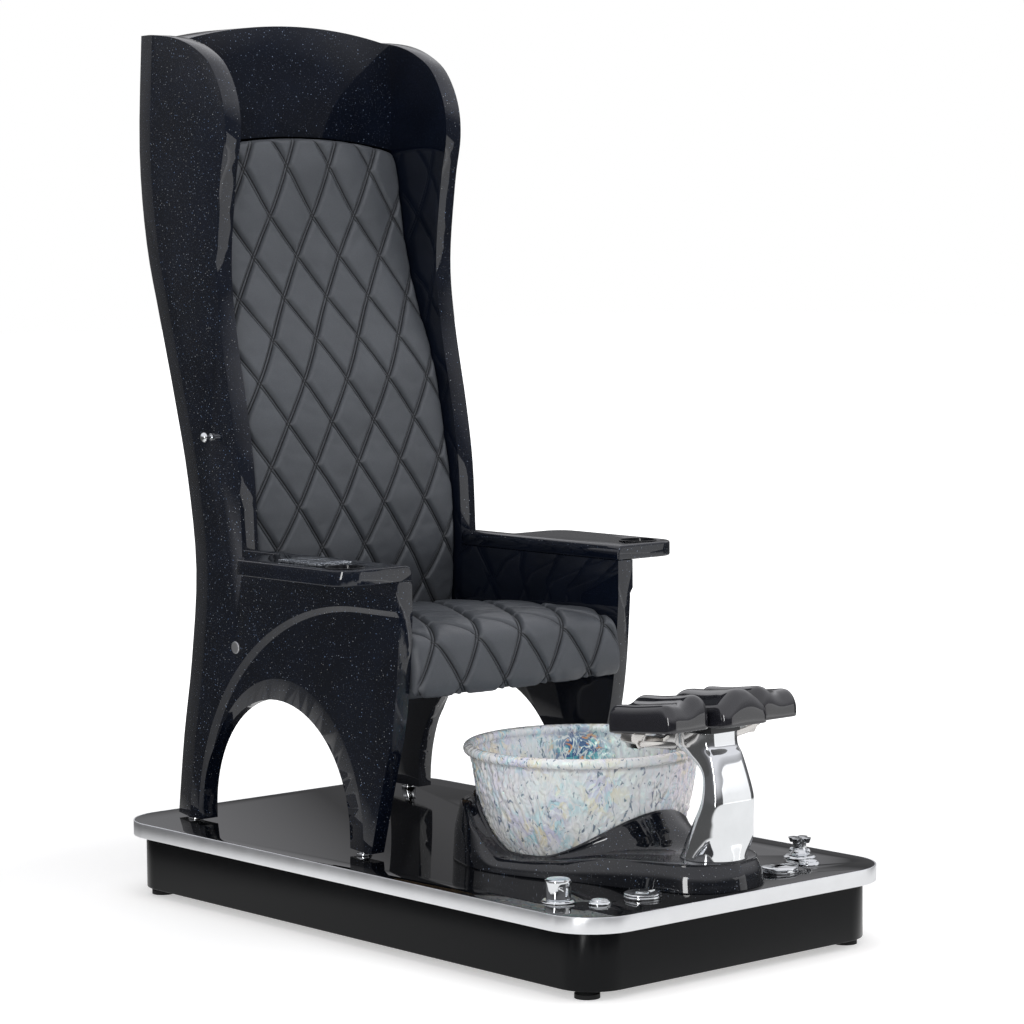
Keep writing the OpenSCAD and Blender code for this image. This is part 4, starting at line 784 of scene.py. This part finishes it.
seat_cushion, face, x, v = cushion("seat_cushion_leather", seat_path, seat_back, CUSHION_HALF,
                                   lambda path: 5 * ease((path[:, 0] + 110) / 60) + 2,
                                   seat_rows, seed=5, step=1.7)
dressed(seat_cushion, leather, "chair", "cushion", "seat_cushion")
dressed(stitches("seat_cushion_stitches", face, x, v, CUSHION_HALF), thread, "chair", "cushion")

# %% [markdown]
# ## The glass bowl
# The bowl is pressed glass: smooth to the touch inside and rippled outside like ice, with a pale
# mother-of-pearl coating. The wall is a lathe shape whose radius also carries a sum of slanted
# waves, all of which close up after one turn. The fine crinkle is left to the finish.

# %% Bowl wall with pressed ripples
BOWL_Y, FLOOR_Z, BOWL_SIDES = -270.0, 20.0, 480
BEAD_RADIUS, BEAD_AT = 10.0, (213.5, 210.0)
bowl_knots = [[118, 12], [150, 22], [170, 44], [186, 80], [198, 129], [206, 174], [210, 192]]

def ripples(w, z, seed, waves=46):
    """Sum of waves cos(m w + k z + phase) with whole m, so that the pattern closes round the
    bowl."""
    pick = np.random.default_rng(seed)
    turns, climbs = pick.integers(30, 120, waves), pick.normal(0, 0.20, waves)
    total = np.zeros(np.broadcast(w, z).shape)
    for m, k, phase in zip(turns, climbs, pick.uniform(0, 6.3, waves)):
        total += np.cos(m * w + k * z + phase + 1.6 * np.sin(0.07 * z + 5 * w))
    return total / math.sqrt(waves)

def ringed(name, rings):
    """Piece from rings of points, each one closed and joined to the next."""
    return piece(name, rings.reshape(-1, 3), grid_quads(*rings.shape[:2], True))

def bowl_wall():
    """Outer profile up to the bead, round the bead, and down the inner profile to the drain,
    with the number of points in the first two."""
    outer = evened(smooth_curve(bowl_knots, 6), 2.6)
    bead = [[BEAD_AT[0] + BEAD_RADIUS * math.cos(a), BEAD_AT[1] + BEAD_RADIUS * math.sin(a)]
            for a in np.radians(np.arange(-110, 230, 12.5))]
    inner = evened(smooth_curve([[r - 8, max(z, FLOOR_Z)] for r, z in bowl_knots[::-1]], 6), 3.2)
    floor = [[100, 20.0], [70, 20.0], [42, 20.0], [23, 20.0], [23, 12.0], [60, 12.0], [95, 12.0]]
    return np.vstack([outer, bead, inner, floor, outer[:1]]), len(outer), len(bead)

profile, outer_count, bead_count = bowl_wall()
inside_from = outer_count + bead_count
strength = np.zeros(len(profile))
strength[:outer_count] = ease((profile[:outer_count, 1] - 14) / 12)
strength[outer_count:inside_from] = 0.35
strength[inside_from:-8] = -0.7 * ease((profile[inside_from:-8, 1] - FLOOR_Z) / 12)
w = np.linspace(0, 2 * np.pi, BOWL_SIDES, endpoint=False)[None, :]
z = np.repeat(profile[:, 1:], BOWL_SIDES, 1)
r = profile[:, :1] + strength[:, None] * ripples(w, z, 7)
points = np.stack([r * np.cos(w), BOWL_Y + r * np.sin(w), z], -1)
bowl = ringed("glass_bowl_rippled", points)
print("bowl points:", points.shape[:2])

# %% Pearl glass
# The middle of a painted reflection on the bowl's wall nearest the chair.
PAINTED_REFLECTION_AT = (0.128, -0.130, 0.305)                        # middle of the stronger colour, metres

def pearl_glass_finish():
    """Pale glass that partly scatters and partly lets light through. Clouds run through cyan,
    lavender and gold; white strokes follow the middle value of a warped noise; small dark flecks
    sit between them; and the wall nearest the chair carries a painted reflection in stronger
    colour."""
    finish, tree, shader = new_finish("Pearl glass", Transmission_Weight=0.18, IOR=1.7,
                                      Roughness=0.05, Coat_Weight=1.0, Coat_Roughness=0.02,
                                      Thin_Film_Thickness=520.0, Thin_Film_IOR=1.5)
    def patches(size, low, high, upto=1.0, lowest=0.0, **more):
        """Clouds cut into patches with soft borders."""
        return mapped(tree, noise(tree, size, **more), low, high, lowest, upto)
    cyan, lavender, gold = (0.40, 0.80, 0.92, 1), (0.72, 0.70, 0.95, 1), (0.96, 0.86, 0.58, 1)
    drift = noise(tree, 36, 2.0, scale=(1, 1, 0.7), distortion=1.2)
    other = noise(tree, 28, 2.0, scale=(0.9, 1.1, 0.6), distortion=0.8)
    pale = mixed(tree, mapped(tree, drift, 0.44, 0.54, 0.0, 1.0), cyan, lavender)
    pale = mixed(tree, mapped(tree, other, 0.52, 0.58, 0.0, 1.0), pale, gold)
    crinkle = noise(tree, 27, 2.5, scale=(1, 1, 0.5), distortion=2.4)
    off_middle = maths(tree, "ABSOLUTE", maths(tree, "SUBTRACT", crinkle, 0.5))
    stroke = mapped(tree, off_middle, 0.012, 0.05, 1.0, 0.0)
    white = patches(74, 0.36, 0.60, 0.9, 0.2, detail=2.0)
    colour = mixed(tree, white, pale, (0.97, 1.0, 1.0, 1))
    colour = mixed(tree, stroke, colour, (1.0, 1.0, 1.0, 1))
    fleck = patches(15, 0.61, 0.67, 0.8, detail=2.5, scale=(1, 1, 0.5), distortion=2.4)
    colour = mixed(tree, fleck, colour, (0.10, 0.17, 0.26, 1))
    # Painted reflection: blue, cyan and orange cells with white strokes, strongest round its
    # middle.
    painted_reflection = mixed(tree, patches(30, 0.50, 0.56, detail=2.0, distortion=1.6),
                 rgb(16, 74, 150), rgb(84, 176, 196))
    painted_reflection = mixed(tree, patches(26, 0.57, 0.61, detail=2.0, distortion=1.8), painted_reflection,
                 rgb(236, 148, 58))
    painted_reflection = mixed(tree, stroke, painted_reflection, (0.95, 0.98, 1.0, 1))
    where = node(tree, "TexCoord").outputs["Object"]
    apart = vectors(tree, "DISTANCE", where, PAINTED_REFLECTION_AT)
    colour = mixed(tree, mapped(tree, apart, 0.035, 0.075, 0.9, 0.0), colour, painted_reflection)
    feed(tree, shader, Base_Color=colour)
    bumped(tree, shader, crinkle, 5.0)
    bumped(tree, shader, crinkle, 3.0, layer="Coat Normal")
    return finish

dressed(bowl, pearl_glass_finish(), "chair", "bowl_glass", "glass_bowl")

# %% [markdown]
# ## The foot bath's base
# The base is swept round the bowl's axis. At each bearing its section is drawn from the outline
# of its foot, the height of its lip against the bowl, and the shoulder between them; near the
# column a round recess is let into the nose.

# %% Base moulding as a swept section
base_outline = [[0, -687], [60, -672], [98, -632], [125, -565], [150, -480], [172, -400],
                [200, -310], [213, -235], [196, -150], [144, -68], [0, -22]]
outline = smooth_curve(base_outline, 10)
bearing = np.degrees(np.arctan2(outline[:, 0], BOWL_Y - outline[:, 1]))
reach = np.hypot(outline[:, 0], outline[:, 1] - BOWL_Y)
bowl_line = smooth_curve(bowl_knots, 6)
COLUMN_Y, NOSE_TOP, RECESS = -609, 50, 63               # column's foot, and the recess for it

def base_surface(count=288):
    """Rings of section points, one ring for each bearing, from the foot over the shoulder to the
    lip, down the inside and back along the hollow underside."""
    w = np.linspace(-180, 180, count, endpoint=False)
    a = np.abs(w)
    foot = np.interp(a, bearing, reach)
    lip = np.where(a < 75, 32 + 84 * (1 + np.cos(np.radians(a * 2.4))) / 2,
                   32 + 96 * ease((a - 98) / 32))
    inner = np.interp(lip, bowl_line[:, 1], bowl_line[:, 0]) + 1.5
    # Height of the shoulder, and how far in from the foot it lies
    sz = np.interp(a, [0, 22, 35, 53, 79, 98, 115, 130, 180],
                   [50, 50, 45, 34, 25, 25, 66, 108, 112])
    si = np.interp(a, [0, 22, 35, 53, 79, 98, 121, 145, 180],
                   [24, 26, 28, 26, 16, 18, 12, 20, 30])
    blur = np.hanning(15) / np.hanning(15).sum()
    sz, si, lip, inner = (np.convolve(np.concatenate([q[-7:], q, q[:7]]), blur, "valid")
                          for q in (sz, si, lip, inner))
    b = foot - si
    f = inner + (b - inner) * np.interp(a, [0, 30, 70, 180], [0.4, 0.5, 0.6, 0.6])
    knots = np.array([[foot, 0 * foot], [foot - 0.1 * si, 0.25 * sz], [foot - 0.25 * si, 0.55 * sz],
                      [b + 0.3 * (foot - b), 0.9 * sz], [b, sz], [f, sz + 0.05 * (lip - sz)],
                      [inner + 0.45 * (f - inner), sz + 0.55 * (lip - sz)],
                      [inner + np.minimum(8, 0.3 * (b - inner)), lip - 3], [inner + 3, lip],
                      [inner + 0.6, lip - 1.5], [inner, lip - 5]])
    skin = np.array([smooth_curve(knots[:, :, i], 5) for i in range(count)])
    hollow = np.maximum(foot - 8.4, inner + 9)
    under = np.stack([np.stack(pair, -1) for pair in (
        (inner, 0 * inner), (inner + 6, 0 * inner), (inner + 6, np.maximum(sz - 12, 6)),
        (hollow, 0 * inner + 6), (hollow, 0 * inner), (foot, 0 * inner))], 1)
    section = np.concatenate([skin, under], 1)
    rad, high = section[..., 0], section[..., 1]
    x = rad * np.sin(np.radians(w))[:, None]
    y = BOWL_Y - rad * np.cos(np.radians(w))[:, None]
    open_to = ease((np.hypot(x, y - COLUMN_Y) - RECESS) / 14)
    high = np.where(high > NOSE_TOP, NOSE_TOP + (high - NOSE_TOP) * open_to, high)
    return np.stack([x, y, high], -1)

rings = base_surface()
rows, columns = rings.shape[:2]
base = piece("basin_base_moulded", np.concatenate([rings, rings[:1]]).reshape(-1, 3),
             grid_quads(rows + 1, columns))
dressed(base, base_coat, "chair", "base", "basin_base")
print("base rings:", rows, "points in each:", columns)

# %% [markdown]
# ## The footrest
# A chrome horn rises from the nose, leans forward and swings back under the pads. Its front is
# flat with a crisp ridge at each side, and its back is round, so the front half of each section
# is a squarer superellipse than the back half.

# %% The chrome column
FRONT_POWER, REAR_POWER = 5.0, 2.2
# Height, middle, half width and half depth of each section
column_knots = [[50, -609, 60, 60], [85, -618, 57, 48], [120, -629, 54, 38], [160, -640, 50, 30],
                [206, -633, 44, 26], [235, -604, 43, 46], [252, -583, 43, 57], [276, -578, 44, 60]]

def column_surface(sides=192):
    """Stacked sections |x/a|^n + |y/b|^n = 1, with the larger n in front, closed by a cap at
    each end."""
    line = smooth_curve(column_knots, 12)
    w = np.linspace(0, 2 * np.pi, sides, endpoint=False)
    c, s = np.cos(w), np.sin(w)
    power = np.where(s < 0, 2 / FRONT_POWER, 2 / REAR_POWER)
    cx, sy = np.sign(c) * np.abs(c) ** power, np.sign(s) * np.abs(s) ** power
    # The lowest centimetres stay round, as the recess in the base asks
    squarer = ease((line[:, :1] - 50) / 45)
    round_x, round_y = line[:, 2:3] * c, line[:, 3:4] * s
    rings = np.stack([round_x + squarer * (line[:, 2:3] * cx - round_x),
                      line[:, 1:2] + round_y + squarer * (line[:, 3:4] * sy - round_y),
                      np.repeat(line[:, :1], sides, 1)], -1)
    low, top = rings[:1].copy(), rings[-1:].copy()
    low[..., :2] = (0, line[0, 1])
    top[..., :2] = (0, line[-1, 1])
    return np.concatenate([low, rings, top])

column = ringed("column_chromed", column_surface())
dressed(column, column_chrome, "chair", "chrome", "column")

# %% [markdown]
# ## The pads
# The footrest's three pads are foam with a moulded gloss skin. Each is a stack of outlines:
# the outline shrinks towards the top while its height follows a profile across and along the pad.
# The front edge is a crisp lip and the top behind it is dished a little for the foot.

# %% Pads from shrinking outlines
PAD_FRONT, PAD_LOW, PAD_SLOPE = -697.0, 294.5, math.tan(math.radians(5))
PAD_CORNER = 16
# How far the outline has shrunk, and the share of the height that it has reached
pad_steps = smooth_curve([[0.965, 0], [0.99, 0.02], [1, 0.12], [1, 0.46], [0.993, 0.62],
                          [0.972, 0.78], [0.93, 0.91], [0.86, 0.985], [0.74, 1.0], [0.6, 1.0],
                          [0.44, 1.0], [0.22, 1.0], [0.0, 1.0]], 5)
# The share of the height that the pad has at each part of its length, from the front
pad_length = smooth_curve([[0, 0.60], [0.08, 0.88], [0.17, 1.0], [0.32, 0.985], [0.6, 0.955],
                           [0.9, 0.97], [1, 0.93]], 8)

def pad_under(y):
    """Height of the sloping underside at a distance y."""
    return PAD_LOW - (y - PAD_FRONT) * PAD_SLOPE

def pad_surface(cx, cy, hx, hy, heights, side=1, per_corner=12):
    """Outlines with rounded corners, shrunk in steps about the middle; the height above the
    underside is a smooth profile across, times a roll at the front and back, times the step's
    share."""
    angles = np.radians(np.linspace(0, 90, per_corner))
    corners = [(1, -1, -90), (1, 1, 0), (-1, 1, 90), (-1, -1, 180)]
    outline = np.vstack([np.column_stack([
        cx + sx * (hx - PAD_CORNER) + PAD_CORNER * np.cos(angles + math.radians(a)),
        cy + sy * (hy - PAD_CORNER) + PAD_CORNER * np.sin(angles + math.radians(a))])
        for sx, sy, a in corners])
    outline = evened(np.vstack([outline, outline[:1]]), 2.6)[:-1]
    line = smooth_curve(heights, 8)
    x = cx + (outline[None, :, 0] - cx) * pad_steps[:, :1]
    y = cy + (outline[None, :, 1] - cy) * pad_steps[:, :1]
    share = np.interp((y - cy + hy) / (2 * hy), pad_length[:, 0], pad_length[:, 1])
    rise = np.interp(np.abs(x), line[:, 0], line[:, 1]) * share * pad_steps[:, 1:]
    low = np.tile([cx, cy, pad_under(cy)], (1, len(outline), 1))
    rings = np.concatenate([low, np.stack([x, y, pad_under(y) + rise], -1)])
    rings[..., 0] *= side
    return rings

centre_heights = [[0, 65], [10, 64], [20, 60], [32, 52], [44, 43], [54, 37]]
side_heights = [[58, 50], [66, 56], [78, 61], [90, 59], [104, 51], [118, 47.5], [132, 49],
                [146, 50], [154, 47], [160, 42]]
for name, args, body in (("centre_pad", (0, -614, 54, 83, centre_heights), "chair"),
                         ("left_pad", (110, -584, 50, 83, side_heights), "left_foot_pad"),
                         ("right_pad", (110, -584, 50, 83, side_heights, -1), "right_foot_pad")):
    pad = ringed(name + "_skin", pad_surface(*args))
    dressed(pad, pad_black, body, "pad", name)
print("pads dressed")

# %% [markdown]
# Under the pads sit a black wedge, two pivot brackets and a pair of links for each side pad.
# They are stamped steel with a nickel plate, a little duller than chrome. Each link rides on its
# own body, so that the pads rise and fall as on the real footrest.

# %% The head, brackets and links
eased("footrest_head", 1.0, head_black, "head")
eased("pivot_brackets", 0.6, link_chrome, "link_steel")
for side in ("right", "left"):
    eased(side + "_front_link", 0.5, link_chrome, "link_steel", side + "_front_arm")
    eased(side + "_rear_link", 0.5, link_chrome, "link_steel", side + "_rear_arm")
    eased(side + "_pad_bracket", 0.6, link_chrome, "link_steel", side + "_foot_pad")

# %% [markdown]
# ## Fittings
# Knobs, flanges and rings are turned or die-cast brass, polished before they are plated, so no
# edge on them is sharp. Each gets a small rounded edge and rides on the body that it turns with.

# %% Chrome fittings with rounded edges
KEYS = [f"key_{number}" for number in range(1, 5)]
fittings = {"mixer_knob": ("mixer", 1.2), "cross_handle": ("cross", 1.6),
            "right_air_button": ("right_button", 0.8), "left_air_button": ("left_button", 0.8),
            "drain_dial": ("dial", 1.0), "drain_stopper": ("stopper", 0.8),
            **{key: (key + "_body", 0.5) for key in KEYS},
            "valve_flanges": ("chair", 0.8), "button_bezels": ("chair", 0.8),
            "dial_base": ("chair", 0.8), "deck_drain": ("chair", 0.6),
            "drain_cover": ("chair", 0.4), "cup_liners": ("chair", 0.8),
            "bolt_caps": ("chair", 1.0), "bag_hook": ("chair", 0.8),
            "leg_glides": ("chair", 0.8), "drain_flange": ("chair", 0.6)}
others = {"cup_liners": (liner_black, "liner"), "bolt_caps": (aluminium, "cap"),
          **{key: (hammered, "key") for key in KEYS}}
for name, (body, width) in fittings.items():
    eased(name, width, *others.get(name, (chrome, "chrome")), body)
eased("keypad_housing", 1.0, hammered, "keypad")
print("fittings:", len(fittings) + 1)

# %% [markdown]
# ## Finishes for the solids that stay as they are
# Hidden frames, boards and studs keep their exact solids and only get a finish.

# %% Finish each remaining solid
kept = {"levelling_pads": rubber, "levelling_studs": zinc, "plinth_frame": powder,
        "deck_board": plywood, "back_board": plywood, "seat_board": plywood,
        "seat_cleats": plywood, "cross_rails": plywood, "rail_bolts": zinc, "bowl_seat": rubber,
        "drain_tailpiece": zinc, "column_studs": zinc, "valve_bodies": zinc,
        "air_switches": switch_black}
for name, finish in kept.items():
    coated(solids[name], finish)
print("solids kept:", len(kept))

# %% [markdown]
# ## Floor, light and camera
# A pale floor, a plain even light from the world and three soft lamps. The world and the floor
# show white to the camera and through glass. A mirror sees a studio: a bright floor in front, a
# bright ceiling, and a grey room all round, which is what gives chrome and black gloss their
# contrast. The lamps that light the chair don't show in mirrors. A narrow window and a white
# card that show only in mirrors draw the bright line along each rounded edge and fill the chrome.

# %% The floor
def floor_finish():
    """White floor that keeps its shadow: its own light makes up what the lamps leave out, and
    grows to full white far off. A mirror sees it bright near the chair and dark far off."""
    finish = bpy.data.materials.new("Studio floor")
    finish.use_nodes = True
    tree = finish.node_tree
    tree.nodes.clear()
    path = node(tree, "LightPath")
    spot = node(tree, "NewGeometry").outputs["Position"]
    far = vectors(tree, "LENGTH", spot)
    diffuse = node(tree, "BsdfDiffuse", {"Color": (0.85, 0.85, 0.85, 1)})
    seen = node(tree, "Emission", {"Color": (1, 1, 1, 1),
                                   "Strength": mapped(tree, far, 1.1, 2.8, 0.44, 1.0)})
    both = node(tree, "AddShader", {0: diffuse.outputs[0], 1: seen.outputs[0]})
    around = vectors(tree, "DISTANCE", spot, (0.5, -0.9, 0))
    shine = node(tree, "Emission", {"Color": (1, 1, 1, 1),
                                    "Strength": mapped(tree, around, 1.7, 2.7, 0.9, 0.08)})
    mix = node(tree, "MixShader", {0: path.outputs["Is Glossy Ray"], 1: both.outputs[0],
                                   2: shine.outputs[0]})
    plain = node(tree, "BsdfDiffuse", {"Color": (0.8, 0.8, 0.8, 1)})
    last = node(tree, "MixShader", {0: path.outputs["Is Diffuse Ray"], 1: mix.outputs[0],
                                    2: plain.outputs[0]})
    node(tree, "OutputMaterial", {"Surface": last.outputs[0]})
    return finish

floor_mesh = bpy.data.meshes.new("studio_floor")
floor_mesh.from_pydata([(-30, -30, 0), (30, -30, 0), (30, 30, 0), (-30, 30, 0)], [], [(0, 1, 2, 3)])
floor = shown("studio_floor", floor_mesh)
floor_mesh.materials.append(floor_finish())

# %% The world
world = bpy.data.worlds.new("Studio")
bpy.context.scene.world = world
world.use_nodes = True
tree = world.node_tree
tree.nodes.clear()
path = node(tree, "LightPath")
way = node(tree, "TexCoord").outputs["Generated"]
ROOM_GREY, CEILING = 0.105, 0.7                         # how bright a mirror sees them
upward = vectors(tree, "DOT_PRODUCT", way, (0, 0, 1))
level = maths(tree, "ADD", mapped(tree, upward, 0.13, 0.45, 0.0, CEILING), ROOM_GREY)
mirror = node(tree, "CombineColor", {0: level, 1: level, 2: maths(tree, "MULTIPLY", level, 1.04)})
colour = mixed(tree, path.outputs["Is Glossy Ray"], (0.50, 0.50, 0.51, 1), mirror.outputs[0])
white = maths(tree, "MAXIMUM", path.outputs["Is Camera Ray"], path.outputs["Is Transmission Ray"])
colour = mixed(tree, white, colour, (1, 1, 1, 1))
background = node(tree, "Background", {"Color": colour, "Strength": 1.0})
node(tree, "OutputWorld", {"Surface": background.outputs[0]})

# %% Lamps
def soft_lamp(name, place, aim, wide, tall, power, mirrored=False):
    """Area lamp at a place in metres, turned to face a point. It lights surfaces, or only shows
    in mirrors."""
    lamp = bpy.data.lights.new(name, "AREA")
    lamp.shape = "RECTANGLE"
    lamp.size, lamp.size_y = wide, tall
    lamp.energy = power
    made = shown(name, lamp)
    made.location = place
    made.rotation_euler = (Vector(aim) - Vector(place)).to_track_quat("-Z", "Y").to_euler()
    made.visible_camera = False
    made.visible_diffuse = not mirrored
    made.visible_glossy = mirrored

soft_lamp("Lamp left", (-3.2, -3.0, 1.05), (0, 0, 0.95), 1.2, 1.8, 62)
soft_lamp("Lamp right", (3.2, -2.6, 2.0), (0, 0, 0.7), 1.8, 1.8, 38)
soft_lamp("Lamp above", (-0.4, -0.6, 3.8), (0, 0, 0.6), 2.4, 2.4, 44)
soft_lamp("Bright window in mirrors", (-4.4, -2.1, 1.3), (0, 0, 1.2), 0.5, 2.5, 42, mirrored=True)
soft_lamp("White card in mirrors", (1.6, -2.4, 0.5), (0.05, -0.6, 0.45), 1.6, 1.0, 4.4,
          mirrored=True)
print("lamps:", len(bpy.data.lights))

# %% [markdown]
# The camera stands at the height of a person's eyes, to the right of the chair's front as the
# sitter faces it, and a long way off, so that upright edges stay nearly parallel.

# %% The camera
def camera_at(place, yaw, pitch, roll, lens):
    """Camera from bearings: yaw to the right of +Y, pitch above the horizon, roll about its
    axis."""
    y, p, q = (math.radians(v) for v in (yaw, pitch, roll))
    ahead = Vector((math.sin(y) * math.cos(p), math.cos(y) * math.cos(p), math.sin(p)))
    right = ahead.cross(Vector((0, 0, 1))).normalized()
    up = right.cross(ahead)
    right, up = right * math.cos(q) + up * math.sin(q), up * math.cos(q) - right * math.sin(q)
    data = bpy.data.cameras.new("Camera")
    data.lens = lens
    data.sensor_width = 36
    data.clip_end = 100
    made = shown("Camera", data)
    made.matrix_world = Matrix(((right.x, up.x, -ahead.x, place[0]),
                                (right.y, up.y, -ahead.y, place[1]),
                                (right.z, up.z, -ahead.z, place[2]), (0, 0, 0, 1)))
    bpy.context.scene.camera = made

camera_at((-4.1777, -4.8798, 1.3292), yaw=41.0634, pitch=-4.9197, roll=-0.4986, lens=119.55)
bpy.context.scene.view_settings.view_transform = "Standard"
